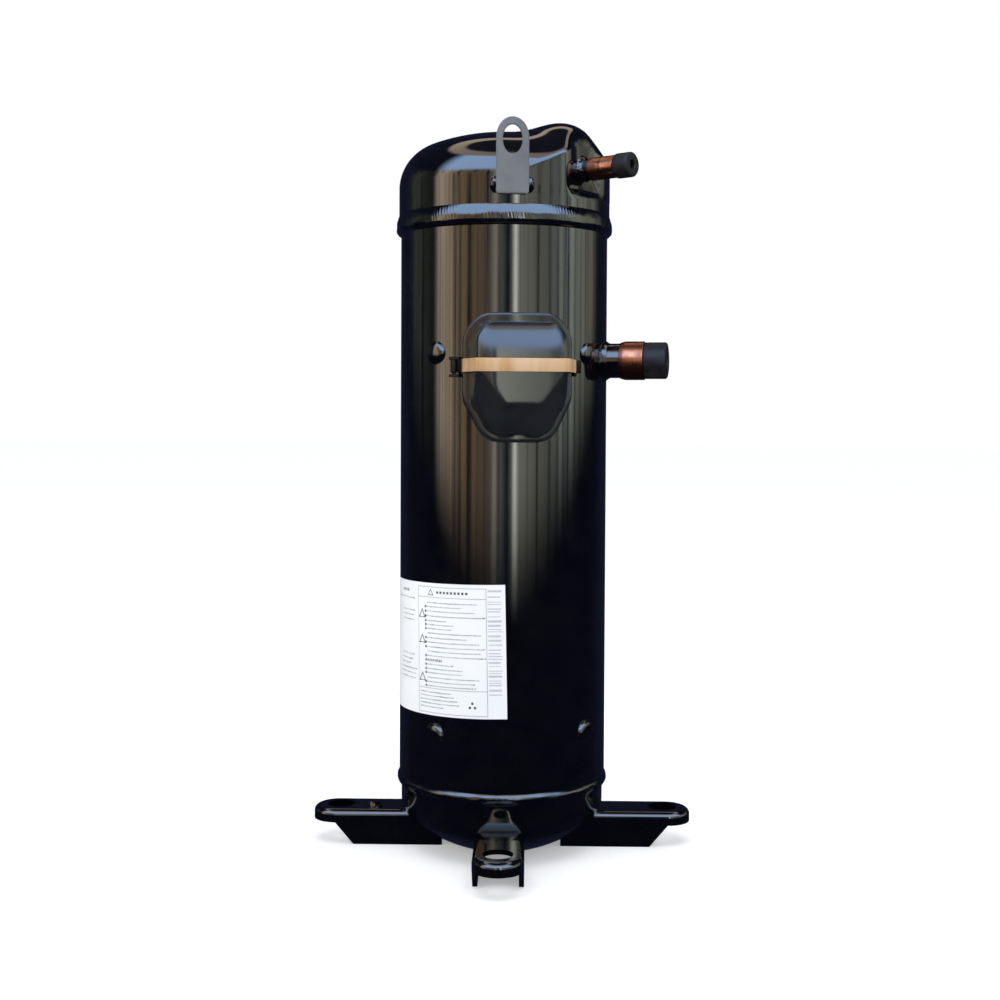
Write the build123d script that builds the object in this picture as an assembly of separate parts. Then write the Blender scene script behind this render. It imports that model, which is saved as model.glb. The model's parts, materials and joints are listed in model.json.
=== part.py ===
"""Hermetic scroll compressor, built as its separate pieces, one STEP file for each named piece.

Frame: millimetres, +Z up the shaft axis, origin on that axis at the level of the feet's lower edges.
The front foot points along -Y. Azimuths are in degrees from -Y, turning towards +X.
In a "port" frame, local X is tangential, local Y is up and local Z points radially outwards.
"""

import math
import os

from build123d import *

# ---- Driving dimensions ---------------------------------------------------------------------
SHELL_R = 69.9  # outer radius of the tube
SHELL_WALL = 4.0
SHELL_INNER_R = SHELL_R - SHELL_WALL
LOWER_SEAM_Z = 45.5
UPPER_SEAM_Z = 418.0

TERMINAL_AZ = 7.5  # the shell's fittings are set out from the terminal
SEAL_WELD_AZ = [TERMINAL_AZ - 45 + 90 * i for i in range(4)]
DISCHARGE_AZ = TERMINAL_AZ + 45
SUCTION_AZ = TERMINAL_AZ + 70
LUG_AZ = 5.0

# Top cap
CAP_WALL = 4.0
CAP_R = 71.3
CAP_KNUCKLE_R = 30.0
CAP_KNUCKLE_Z = 443.0
CAP_CROWN_R = 145.0
BUMP_OFFSET = 49.0  # from the shaft axis to the raised pocket's own axis
BUMP_NOSE_R = 19.0
BUMP_SLOPE = 60.0  # degrees from horizontal, down its flanks
BUMP_TOP_Z = 482.8
PAD_R = 66.0  # the flat that the discharge stub is brazed to
PAD_FOOT_Z = 436.0

# Bottom cap
BASE_R = 68.5
BASE_KNUCKLE_Z = 31.0
BASE_DISH_R = 97.0
BASE_DISH_CENTRE_Z = 92.15
BASE_FLAT_Z = 0.8

# Girth welds and plug welds
UPPER_BEAD = ((SHELL_R, 411.3), (73.0, 417.6), (CAP_R, 424.9))
LOWER_BEAD_CREST_R = 71.3
LOWER_BEAD_HALF = 4.0
PLUG_WELD_R = 4.5
PLUG_WELD_HEAD_R = 7.2
PLUG_WELD_HEAD_H = 1.9

# Mounting feet
FOOT_WIDTH = 32.0
FOOT_TOP_Z = 23.4
FOOT_LIP_Z = 14.5
FOOT_PLATE = 3.2
FOOT_BEND_R = 4.2
FOOT_END_CENTRE = 112.5
FOOT_SKIRT_END = 100.0
FOOT_INNER_END = 40.0
FOOT_HOLE_R = 9.5
FOOT_HOLE_CENTRE = 110.0
FOOT_AZ = {"front": 0, "right": 90, "rear": 180, "left": 270}
EARTH_SCREW_X = 5.5
EARTH_SCREW_Y = 86.0
EARTH_SCREW_R = 2.4
EARTH_SCREW_HEAD_R = 4.0
EARTH_WASHER_R = 4.8
EARTH_WASHER_T = 0.9

# Lifting lug
LUG_WIDTH = 20.8
LUG_BOTTOM_Z = 430.5
LUG_TOP_Z = 478.5
LUG_PLATE = 3.2
LUG_BACK_R = CAP_R + 0.2
LUG_EYE_W = 12.4
LUG_EYE_H = 18.4
LUG_CROWN_H = 13.0
LUG_EYE_MARGIN = 4.8  # plate left above the eye
TACK_SIZE = (3.4, 5.4, 3.0)
TACK_HEIGHT = 6.0  # above the lug's lower edge

# Suction line
SUCTION_Z = 327.5
SUCTION_STUB_R = 11.55
SUCTION_STUB_BORE = 10.2
SUCTION_SOCKET_R = 12.9
SUCTION_SOCKET_BORE = 11.3
SUCTION_SOCKET_START = 80.5
SUCTION_SOCKET_END = 96.7
SUCTION_PLUG_END = 111.7
SUCTION_PLUG_R = 12.2

# Discharge line
DISCHARGE_Z = 450.4
DISCHARGE_STUB_R = 7.0
DISCHARGE_STUB_BORE = 5.6
DISCHARGE_SOCKET_R = 7.35
DISCHARGE_SOCKET_BORE = 6.45
DISCHARGE_SOCKET_START = 73.0
DISCHARGE_SOCKET_END = 92.5
DISCHARGE_PLUG_END = 104.0
DISCHARGE_PLUG_R = 8.0

# Both lines
SOCKET_FLARE = 3.0
SOCKET_SPIGOT = 6.0
SPIGOT_WALL = 0.9
PLUG_HOLE_DEPTH = 9.0
BRAZE_SPREAD = 2.6

# Terminal cover, strap and hermetic terminal
COVER_W = 68.5
COVER_TOP_Z = 354.5
COVER_BOTTOM_Z = 273.1
COVER_SEAT_R = SHELL_R + 2.4
COVER_RIM_R = 77.0
COVER_FRONT_R = 97.0
COVER_RIM_BAND = 4.6
COVER_WALL = 2.4
COVER_CORNER_R = 12.0
COVER_FLAT_UP = 13.0  # the cover's flat middle, above and below its centre
COVER_FLAT_DOWN = 19.0
TERMINAL_Z = 298.0
TERMINAL_HOLE_R = 20.0
PIN_R = 1.6
PIN_CIRCLE_R = 9.0
PIN_INNER_R = 50.0
PIN_OUTER_R = 86.0
GLASS_R = 4.2
STRAP_Z = 321.4
STRAP_H = 8.9
STRAP_T = 0.8
STRAP_LEG_X = 35.6
STRAP_PIN_X = 39.0
STRAP_PIN_R = 64.0
STRAP_PIN_WIRE_R = 1.25
STRAP_FRONT_R = COVER_FRONT_R + 0.3
STRAP_FRONT_X = 28.0  # front corner on the pin's side
STRAP_CATCH_X = 29.5  # front corner on the catch's side, wider so that it swings clear of the cover
STRAP_KNEE_R = 74.0
STRAP_END_X = 42.9
STRAP_END_R = 64.5
LEAD_R = 1.5

# Data plate
PLATE_Z = (96.6, 182.3)
PLATE_AZ = (-120.0, 3.0)
PLATE_T = 0.25

# Scroll set
INVOLUTE_A = 2.706  # base circle radius of both wraps
WRAP_T = 4.0
WRAP_START = 2.0
WRAP_END = 16.3
FLANK_GAP = 0.3
ORBIT_R = math.pi * INVOLUTE_A - WRAP_T - FLANK_GAP
THRUST_Z = 346.0
ORBIT_PLATE_Z = 354.0
FIXED_PLATE_Z = 378.3
FIXED_TOP_Z = 392.0
ORBIT_PLATE_R = 49.0
SCROLL_BAY_R = 54.0
SCROLL_RIM_R = 64.0
SCROLL_JOINT_Z = 352.0
BOSS_TOP_Z = 411.0
BOSS_R = 20.0
PORT_R = 5.0
SCROLL_BOLT_CIRCLE_R = 59.0
SCROLL_BOLT_R = 3.5
SLOT_CENTRE_R = 45.0  # the Oldham keys' slots in the orbiting scroll

# Discharge valve and partition
REED_SCREW_X = -11.5
REED_SCREW_R = 2.0
REED_HINGE_X = -15.5
REED_T = 0.4
REED_Z = BOSS_TOP_Z + 0.05
REED_STOP_RISE = 9.0  # degrees
REED_STOP_T = 1.4
PARTITION_Z = (407.5, 411.0)
PARTITION_BORE = 22.5

# Oldham ring
OLDHAM_IN_R = 41.0
OLDHAM_OUT_R = 49.5
OLDHAM_Z = (338.0, 344.0)
KEY_W = 9.0
KEY_GAP = 0.05
KEY_FACE_GAP = 0.1

# Bearings and shaft
FRAME_FLOOR_Z = 322.0
HUB_CAVITY_R = 25.5
HUB_CAVITY_Z = 324.0
SHAFT_MAIN_R = 15.0
SHAFT_ROTOR_R = 14.0
SHAFT_TAIL_R = 10.0
CRANK_PIN_R = 10.0
BEARING_GAP = 0.03
OIL_BORE_R = 3.0
PICKUP_R = 5.0
PICKUP_BORE = 3.6
PICKUP_FOOT_Z = 24.0
DRIVE_BUSH_R = 13.0
MAIN_BUSH_R = 18.0
LOWER_BUSH_R = 12.5
THRUST_SCREW_R = 1.8
THRUST_SCREW_CIRCLE_R = 17.0
THRUST_PLATE_T = 3.5
ROTOR_SEAT_Z = (118.0, 262.0)
MAIN_HUB_Z = 296.0
LOWER_FRAME_Z = (70.0, 98.0)
LOWER_WELD_Z = 84.2
UPPER_WELD_Z = 330.6

# Motor
STATOR_Z = (150.0, 250.0)
STATOR_OUT_R = SHELL_INNER_R - 0.1
STATOR_IN_R = 36.5
STATOR_SLOTS = 24
ROTOR_R = 36.0
ROTOR_BARS = 20
ROTOR_BAR_R = 2.6
ROTOR_BAR_CIRCLE_R = 31.0
END_RING_H = 11.0
END_RING_OUT_R = 35.4
END_RING_IN_R = 24.0
COUNTERWEIGHT_H = 15.0
SLOT_R = (39.0, 54.0)
SLOT_W = 5.0
WINDING_BOTTOM_Z = 128.0
WINDING_TOP_Z = 272.0
WINDING_OUT_R = 56.5


# ---- Helpers --------------------------------------------------------------------------------
def tube(outer, inner, low, high):
    """A ring or cylinder on the shaft axis between two heights."""
    body = Pos(0, 0, (low + high) / 2) * Cylinder(outer, high - low)
    if inner:
        body -= Pos(0, 0, (low + high) / 2) * Cylinder(inner, high - low + 2)
    return body


def turned(*points):
    """A solid of revolution about Z from a closed outline of (radius, height) points."""
    outline = Plane.XZ * make_face(Polyline(*points, close=True))
    return revolve(outline, Axis.Z)


def port(azimuth, z):
    """The port frame's location: local Z outwards, local Y up, at one azimuth and height."""
    return Pos(0, 0, z) * Rot(0, 0, azimuth) * Rot(90, 0, 0)


def around(azimuth):
    """Turns what was built facing -Y to an azimuth."""
    return Rot(0, 0, azimuth)


def save(name, *solids):
    """Writes one piece, or a group of identical pieces, to its STEP file."""
    shape = solids[0] if len(solids) == 1 else Compound(children=list(solids))
    shape.label = name
    export_step(shape, f"parts/{name}.step")


# ---- Shell and caps -------------------------------------------------------------------------
def shell_cylinder(radius, low=-20.0, high=520.0):
    """A plain cylinder on the axis, to trim pieces that lie against the shell."""
    return tube(radius, 0, low, high)


def make_shell():
    body = tube(SHELL_R, SHELL_INNER_R, LOWER_SEAM_Z, UPPER_SEAM_Z)
    through = Pos(0, 0, SHELL_R) * Cylinder(SUCTION_STUB_R, 30)
    body -= port(SUCTION_AZ, SUCTION_Z) * through
    body -= port(TERMINAL_AZ, TERMINAL_Z) * (Pos(0, 0, SHELL_R) * Cylinder(TERMINAL_HOLE_R, 30))
    for z in (LOWER_WELD_Z, UPPER_WELD_Z):
        for azimuth in SEAL_WELD_AZ:
            body -= port(azimuth, z) * (Pos(0, 0, SHELL_R) * Cylinder(PLUG_WELD_R, 12))
    return body


def dome(inset):
    """The cap's plain domed cylinder, with its faces inset inside the nominal ones."""
    across = CAP_R - CAP_KNUCKLE_R
    drop = math.sqrt((CAP_CROWN_R - CAP_KNUCKLE_R) ** 2 - across**2)
    centre_z = CAP_KNUCKLE_Z - drop
    lean = math.atan2(drop, across)
    mid_crown = (lean + math.pi / 2) / 2
    r_crown, r_knuckle = CAP_CROWN_R - inset, CAP_KNUCKLE_R - inset
    edge = (r_crown * math.cos(lean), centre_z + r_crown * math.sin(lean))
    knuckle_mid = (across + r_knuckle * math.cos(lean / 2), CAP_KNUCKLE_Z + r_knuckle * math.sin(lean / 2))
    crown_mid = (r_crown * math.cos(mid_crown), centre_z + r_crown * math.sin(mid_crown))
    apex = (0, centre_z + r_crown)
    wall, floor_z = CAP_R - inset, UPPER_SEAM_Z - inset
    with BuildSketch(Plane.XZ) as profile:
        with BuildLine():
            Polyline(apex, (0, floor_z), (wall, floor_z), (wall, CAP_KNUCKLE_Z))
            ThreePointArc((wall, CAP_KNUCKLE_Z), knuckle_mid, edge)
            ThreePointArc(edge, crown_mid, apex)
        make_face()
    return revolve(profile.sketch, Axis.Z)


def bump(inset):
    """The raised pocket over the discharge stub: a round nose on flaring flanks."""
    slope = math.radians(BUMP_SLOPE)
    nose_r = BUMP_NOSE_R - inset
    nose_z = BUMP_TOP_Z - BUMP_NOSE_R
    shoulder = (nose_r * math.sin(slope), nose_z + nose_r * math.cos(slope))
    foot_z = PAD_FOOT_Z + inset
    foot_r = shoulder[0] + (shoulder[1] - foot_z) / math.tan(slope)
    nose_mid = (nose_r * math.sin(slope / 2), nose_z + nose_r * math.cos(slope / 2))
    apex = (0, nose_z + nose_r)
    with BuildSketch(Plane.XZ) as profile:
        with BuildLine():
            Polyline(apex, (0, foot_z), (foot_r, foot_z), shoulder)
            ThreePointArc(shoulder, nose_mid, apex)
        make_face()
    body = Pos(0, -BUMP_OFFSET, 0) * revolve(profile.sketch, Axis.Z)
    return body & tube(CAP_R - inset, 0, foot_z, BUMP_TOP_Z + 1)


def pad_cutter(inset):
    """What is taken off the cap outside the brazing pad: a vertical flat with a sloping foot."""
    face = PAD_R - inset
    foot = PAD_FOOT_Z + inset
    reach = CAP_R - PAD_R + 4
    outline = Polyline(
        (face, foot + reach),
        (face, 520),
        (face + 60, 520),
        (face + 60, foot),
        (face + reach, foot),
        close=True,
    )
    wedge = extrude(Plane.YZ * make_face(outline), amount=60, both=True)
    return mirror(wedge, about=Plane.XZ)


def top_cap_body(inset):
    """The top cap's outer form, or its hollow when inset by the wall."""
    return around(DISCHARGE_AZ) * (dome(inset) + bump(inset) - pad_cutter(inset))


def make_top_cap():
    body = top_cap_body(0) - top_cap_body(CAP_WALL)
    hole = Pos(0, 0, PAD_R) * Cylinder(DISCHARGE_STUB_R, 40)
    return body - port(DISCHARGE_AZ, DISCHARGE_Z) * hole


def bottom_cap_body(inset):
    """The bottom cap's outer form, or its hollow when inset by the wall."""
    rise = BASE_DISH_CENTRE_Z - BASE_KNUCKLE_Z
    knuckle_r = ((BASE_DISH_R**2 - BASE_R**2) - rise**2) / (2 * (BASE_DISH_R - BASE_R))
    knuckle_x = BASE_R - knuckle_r
    lean = math.atan2(rise, knuckle_x)
    r_knuckle, r_dish = knuckle_r - inset, BASE_DISH_R - inset
    flat_z = BASE_FLAT_Z + inset
    wall = BASE_R - inset
    edge = (knuckle_x + r_knuckle * math.cos(lean), BASE_KNUCKLE_Z - r_knuckle * math.sin(lean))
    knuckle_mid = (
        knuckle_x + r_knuckle * math.cos(lean / 2),
        BASE_KNUCKLE_Z - r_knuckle * math.sin(lean / 2),
    )
    flat_r = math.sqrt(r_dish**2 - (BASE_DISH_CENTRE_Z - flat_z) ** 2)
    flat_lean = math.atan2(BASE_DISH_CENTRE_Z - flat_z, flat_r)
    mid = (lean + flat_lean) / 2
    dish_mid = (r_dish * math.cos(mid), BASE_DISH_CENTRE_Z - r_dish * math.sin(mid))
    rim_z = LOWER_SEAM_Z + inset
    with BuildSketch(Plane.XZ) as profile:
        with BuildLine():
            Polyline((flat_r, flat_z), (0, flat_z), (0, rim_z), (wall, rim_z), (wall, BASE_KNUCKLE_Z))
            ThreePointArc((wall, BASE_KNUCKLE_Z), knuckle_mid, edge)
            ThreePointArc(edge, dish_mid, (flat_r, flat_z))
        make_face()
    return revolve(profile.sketch, Axis.Z)


def make_bottom_cap():
    return bottom_cap_body(0) - bottom_cap_body(CAP_WALL)


def make_upper_seam_weld():
    """The bead where the top cap's rim stands on the shell's end."""
    low, crest, high = UPPER_BEAD
    with BuildSketch(Plane.XZ) as profile:
        with BuildLine():
            ThreePointArc(low, crest, high)
            Polyline(high, (CAP_R, UPPER_SEAM_Z), (SHELL_R, UPPER_SEAM_Z), low)
        make_face()
    return revolve(profile.sketch, Axis.Z)


def make_lower_seam_weld():
    """The bead where the shell's lower end meets the bottom cap's rim."""
    low, high = LOWER_SEAM_Z - LOWER_BEAD_HALF, LOWER_SEAM_Z + LOWER_BEAD_HALF
    with BuildSketch(Plane.XZ) as profile:
        with BuildLine():
            ThreePointArc((BASE_R, low), (LOWER_BEAD_CREST_R, LOWER_SEAM_Z), (SHELL_R, high))
            Polyline((SHELL_R, high), (SHELL_R, LOWER_SEAM_Z), (BASE_R, LOWER_SEAM_Z), (BASE_R, low))
        make_face()
    return revolve(profile.sketch, Axis.Z)


def make_plug_welds():
    """Domed plug welds that hold the two bearing frames through holes in the shell."""
    head = Pos(0, 0, SHELL_R) * Cylinder(PLUG_WELD_HEAD_R, 2 * PLUG_WELD_HEAD_H)
    head = fillet(head.edges().group_by(Axis.Z)[-1], PLUG_WELD_HEAD_H * 0.9)
    head -= Rot(-90, 0, 0) * shell_cylinder(SHELL_R, -40, 40)
    plug = Pos(0, 0, SHELL_R - SHELL_WALL / 2) * Cylinder(PLUG_WELD_R, SHELL_WALL + 2)
    core = shell_cylinder(SHELL_R + 0.5, -40, 40) - shell_cylinder(SHELL_INNER_R, -40, 40)
    plug &= Rot(-90, 0, 0) * core
    blob = head + plug
    spots = [(azimuth, z) for z in (LOWER_WELD_Z, UPPER_WELD_Z) for azimuth in SEAL_WELD_AZ]
    return [port(azimuth, z) * blob for azimuth, z in spots]


# ---- Feet -----------------------------------------------------------------------------------
def foot_outline(margin):
    """Plan outline of a foot pointing along -Y, shrunk by margin."""
    half = FOOT_WIDTH / 2 - margin
    straight = FOOT_END_CENTRE - FOOT_INNER_END
    middle = -(FOOT_END_CENTRE + FOOT_INNER_END) / 2
    bar = Pos(0, middle) * Rectangle(2 * half, straight)
    return bar + Pos(0, -FOOT_END_CENTRE) * Circle(half)


def make_foot():
    """A pressed channel: flat top, skirts down both sides and a shallow lip round the end."""
    body = extrude(foot_outline(0), FOOT_TOP_Z)
    top_edges = body.edges().group_by(Axis.Z)[-1].filter_by(lambda e: e.center().Y < -FOOT_INNER_END - 1)
    body = fillet(top_edges, FOOT_BEND_R)
    under = extrude(foot_outline(FOOT_PLATE), FOOT_TOP_Z - FOOT_PLATE)
    under += Pos(0, -FOOT_INNER_END, (FOOT_TOP_Z - FOOT_PLATE) / 2) * Box(
        FOOT_WIDTH - 2 * FOOT_PLATE, 8, FOOT_TOP_Z - FOOT_PLATE
    )
    body -= under
    tip = FOOT_END_CENTRE + FOOT_WIDTH
    clear = Polyline(
        (-FOOT_SKIRT_END, -1),
        (-FOOT_SKIRT_END, 0),
        (-FOOT_END_CENTRE, FOOT_LIP_Z),
        (-tip, FOOT_LIP_Z),
        (-tip, -1),
        close=True,
    )
    body -= extrude(Plane.YZ * make_face(clear), amount=FOOT_WIDTH, both=True)
    body -= Pos(0, -FOOT_HOLE_CENTRE, FOOT_TOP_Z) * Cylinder(FOOT_HOLE_R, 20)
    return body - bottom_cap_body(0)


def make_earth_screw():
    """Hex-washer earthing screw in the left foot, drawn on a foot that points along -Y."""
    head = extrude(RegularPolygon(EARTH_SCREW_HEAD_R, 6), 3.4)
    washer = Cylinder(EARTH_WASHER_R, EARTH_WASHER_T)
    shank = Pos(0, 0, -4) * Cylinder(EARTH_SCREW_R, 8)
    screw = head + Pos(0, 0, EARTH_WASHER_T / 2) * washer + shank
    return Pos(EARTH_SCREW_X, -EARTH_SCREW_Y, FOOT_TOP_Z) * screw


def save_feet():
    foot = make_foot()
    screw_hole = Pos(EARTH_SCREW_X, -EARTH_SCREW_Y, FOOT_TOP_Z) * Cylinder(EARTH_SCREW_R, 12)
    for side, azimuth in FOOT_AZ.items():
        piece = foot - screw_hole if side == "left" else foot
        save(f"foot_{side}", around(azimuth) * piece)
    save("earth_screw", around(FOOT_AZ["left"]) * make_earth_screw())


# ---- Lifting lug ----------------------------------------------------------------------------
def lug_outline():
    """Face outline of the lug in a port frame whose origin is at the lug's lower edge."""
    height = LUG_TOP_Z - LUG_BOTTOM_Z
    straight = height - LUG_CROWN_H
    bar = Pos(0, straight / 2) * Rectangle(LUG_WIDTH, straight)
    plate = bar + Pos(0, straight) * Ellipse(LUG_WIDTH / 2, LUG_CROWN_H)
    eye = Pos(0, height - LUG_EYE_MARGIN - LUG_EYE_H / 2) * Ellipse(LUG_EYE_W / 2, LUG_EYE_H / 2)
    return plate - eye


def make_lug():
    plate = Pos(0, 0, LUG_BACK_R) * extrude(lug_outline(), LUG_PLATE)
    return port(LUG_AZ, LUG_BOTTOM_Z) * plate


def make_lug_welds():
    """Tack welds down both edges of the lug."""
    lug = make_lug()
    tacks = []
    for side in (-1, 1):
        ball = Pos(side * (LUG_WIDTH / 2 + 0.6), TACK_HEIGHT, LUG_BACK_R - 0.6) * scale(Sphere(1), TACK_SIZE)
        tacks.append(port(LUG_AZ, LUG_BOTTOM_Z) * ball - lug - shell_cylinder(CAP_R))
    return tacks


# ---- Suction and discharge lines ------------------------------------------------------------
def make_stub(radius, bore, start, end):
    """A straight steel stub in port coordinates."""
    return turned((bore, start), (radius, start), (radius, end), (bore, end))


def make_socket(radius, bore, stub_r, stub_bore, start, end):
    """A copper socket: a spigot inside the stub, a short flare, then the full socket."""
    return turned(
        (stub_bore - SPIGOT_WALL, start - SOCKET_SPIGOT),
        (stub_bore, start - SOCKET_SPIGOT),
        (stub_bore, start),
        (stub_r, start),
        (radius, start + SOCKET_FLARE),
        (radius, end),
        (bore, end),
        (bore, start + SOCKET_FLARE),
        (stub_bore - SPIGOT_WALL, start),
    )


def make_plug(head_r, bore, start, end, hole_r, depth):
    """A rubber shipping plug: a head with a blind hole, and a tapered stem in the socket."""
    stem = bore - 0.15
    return turned(
        (0, start - depth),
        (stem - 0.9, start - depth),
        (stem, start - depth + 3),
        (stem, start + 0.1),
        (head_r - 0.5, start + 0.1),
        (head_r, start + 0.8),
        (head_r, end - 0.9),
        (head_r - 0.9, end),
        (hole_r, end),
        (hole_r, end - PLUG_HOLE_DEPTH),
        (0, end - PLUG_HOLE_DEPTH),
    )


def make_braze(pipe_r, foot_r, height, trim):
    """A concave fillet of brazing round a pipe where it leaves the wall."""
    profile = turned(
        (pipe_r, foot_r - 6),
        (pipe_r + BRAZE_SPREAD, foot_r - 6),
        (pipe_r + BRAZE_SPREAD, foot_r + height * 0.25),
        (pipe_r + BRAZE_SPREAD * 0.45, foot_r + height * 0.55),
        (pipe_r, foot_r + height),
    )
    return profile - trim


def save_lines():
    suction = port(SUCTION_AZ, SUCTION_Z)
    discharge = port(DISCHARGE_AZ, DISCHARGE_Z)
    save("suction_stub", suction * make_stub(SUCTION_STUB_R, SUCTION_STUB_BORE, 60, SUCTION_SOCKET_START))
    socket = make_socket(
        SUCTION_SOCKET_R,
        SUCTION_SOCKET_BORE,
        SUCTION_STUB_R,
        SUCTION_STUB_BORE,
        SUCTION_SOCKET_START,
        SUCTION_SOCKET_END,
    )
    save("suction_socket", suction * socket)
    plug = make_plug(SUCTION_PLUG_R, SUCTION_SOCKET_BORE, SUCTION_SOCKET_END, SUCTION_PLUG_END, 5.0, 12)
    save("suction_plug", suction * plug)
    braze = make_braze(SUCTION_STUB_R, SHELL_R, 3.4, Rot(-90, 0, 0) * shell_cylinder(SHELL_R, -40, 40))
    save("suction_braze", suction * braze)

    stub = make_stub(DISCHARGE_STUB_R, DISCHARGE_STUB_BORE, 58, DISCHARGE_SOCKET_START)
    save("discharge_stub", discharge * stub)
    socket = make_socket(
        DISCHARGE_SOCKET_R,
        DISCHARGE_SOCKET_BORE,
        DISCHARGE_STUB_R,
        DISCHARGE_STUB_BORE,
        DISCHARGE_SOCKET_START,
        DISCHARGE_SOCKET_END,
    )
    save("discharge_socket", discharge * socket)
    plug = make_plug(
        DISCHARGE_PLUG_R, DISCHARGE_SOCKET_BORE, DISCHARGE_SOCKET_END, DISCHARGE_PLUG_END, 2.5, 10
    )
    save("discharge_plug", discharge * plug)
    braze = make_braze(DISCHARGE_STUB_R, PAD_R, 3.0, Box(60, 60, 2 * PAD_R - 8))
    save("discharge_braze", discharge * braze - top_cap_body(0))


# ---- Terminal cover, strap and hermetic terminal --------------------------------------------
def cover_outline(margin):
    """Shield outline of the cover in a port frame at the cover's middle height, shrunk by margin."""
    half_w = COVER_W / 2
    half_h = (COVER_TOP_Z - COVER_BOTTOM_Z) / 2
    corners = [
        (-half_w, half_h - 19),
        (-half_w + 16, half_h),
        (half_w - 16, half_h),
        (half_w, half_h - 19),
        (half_w, -half_h + 27),
        (half_w - 14, -half_h),
        (-half_w + 14, -half_h),
        (-half_w, -half_h + 27),
    ]
    face = make_face(Polyline(*corners, close=True))
    face = fillet(face.vertices(), COVER_CORNER_R)
    return offset(face, -margin) if margin else face


def cover_form(inset):
    """The cover's raised body, or its hollow when inset by the wall."""
    half_h = (COVER_TOP_Z - COVER_BOTTOM_Z) / 2
    base = cover_outline(COVER_RIM_BAND + inset)
    body = extrude(Plane.XY.offset(55) * base, COVER_FRONT_R - 55, taper=4)
    side = Polyline(
        (50, -half_h),
        (80, -half_h),
        (COVER_FRONT_R, -COVER_FLAT_DOWN),
        (COVER_FRONT_R, COVER_FLAT_UP),
        (79, half_h),
        (50, half_h),
        close=True,
    )
    side = make_face(side)
    if inset:
        side = offset(side, -inset)
    slab = extrude(side, 60, both=True)
    # the side view was drawn as (outward, upward); stand it up across local X
    return body & (Rot(0, -90, 0) * slab)


def make_cover():
    """A rim that follows the shell, with the raised body and its hollow."""
    rim = Plane.XY.offset(50) * extrude(cover_outline(0), 60)
    rim &= Rot(-90, 0, 0) * shell_cylinder(COVER_RIM_R, -60, 60)
    body = rim + cover_form(0)
    body -= Rot(-90, 0, 0) * shell_cylinder(COVER_SEAT_R, -60, 60)
    return port(TERMINAL_AZ, cover_middle_z()) * (body - cover_form(COVER_WALL))


def cover_middle_z():
    return (COVER_TOP_Z + COVER_BOTTOM_Z) / 2


def make_gasket():
    """Foam gasket between the cover's rim and the shell."""
    ring = Plane.XY.offset(50) * extrude(cover_outline(0.8) - cover_outline(COVER_RIM_BAND + 1.4), 60)
    band = shell_cylinder(COVER_SEAT_R - 0.3, -60, 60) - shell_cylinder(SHELL_R, -60, 60)
    return port(TERMINAL_AZ, cover_middle_z()) * (ring & Rot(-90, 0, 0) * band)


def make_strap():
    """Spring band over the cover: an eye round the left bracket's pin, a hook on the right."""
    eye_r = STRAP_PIN_WIRE_R + 0.15
    mid = eye_r + STRAP_T / 2
    line = FilletPolyline(
        (-STRAP_PIN_X + mid, STRAP_PIN_R),
        (-STRAP_LEG_X - 0.5, STRAP_KNEE_R),
        (-STRAP_FRONT_X, STRAP_FRONT_R + STRAP_T / 2),
        (STRAP_CATCH_X, STRAP_FRONT_R + STRAP_T / 2),
        (STRAP_LEG_X + 1.6, STRAP_KNEE_R),
        (STRAP_END_X - 3.4, STRAP_END_R),
        (STRAP_END_X + 1.2, STRAP_END_R + 3.2),
        radius=[4.0, 2.0, 2.0, 4.0, 1.4],
    )
    band = offset(line, STRAP_T / 2, side=Side.BOTH)
    section = make_face(band) + Pos(-STRAP_PIN_X, STRAP_PIN_R) * (Circle(eye_r + STRAP_T) - Circle(eye_r))
    solid = extrude(section, STRAP_H)
    # the section was drawn as (tangential, radial); stand it up with its height along local Y
    upright = Pos(0, STRAP_H / 2, 0) * Rot(90, 0, 0) * solid
    return port(TERMINAL_AZ, STRAP_Z) * upright


def make_left_bracket():
    """Clevis welded to the shell that carries the strap's pin."""
    ear_h = 1.6
    offset_y = STRAP_H / 2 + 0.3 + ear_h / 2
    ear = Box(5.4, ear_h, 14)
    ears = [Pos(-STRAP_PIN_X, side * offset_y, STRAP_PIN_R - 4.0) * ear for side in (-1, 1)]
    pin = Pos(-STRAP_PIN_X, 0, STRAP_PIN_R) * Rot(90, 0, 0) * Cylinder(
        STRAP_PIN_WIRE_R, 2 * offset_y + ear_h
    )
    body = ears[0] + ears[1] + pin
    body -= Rot(-90, 0, 0) * shell_cylinder(SHELL_R, -40, 40)
    return port(TERMINAL_AZ, STRAP_Z) * body


def make_right_bracket():
    """Catch welded to the shell: its lip holds the strap's bent end down."""
    x = STRAP_END_X
    profile = Polyline((x - 4.4, 50), (x - 4.4, 62.6), (x - 2.9, 63.1), (x - 2.9, 50), close=True)
    plate = extrude(make_face(profile), STRAP_H + 2)
    upright = Pos(0, (STRAP_H + 2) / 2, 0) * Rot(90, 0, 0) * plate
    upright -= Rot(-90, 0, 0) * shell_cylinder(SHELL_R, -40, 40)
    return port(TERMINAL_AZ, STRAP_Z) * upright


def pin_places():
    """Tangential and upward offsets of the three terminal pins."""
    turns = [math.radians(90 + 120 * i) for i in range(3)]
    return [(PIN_CIRCLE_R * math.cos(t), PIN_CIRCLE_R * math.sin(t)) for t in turns]


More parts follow.
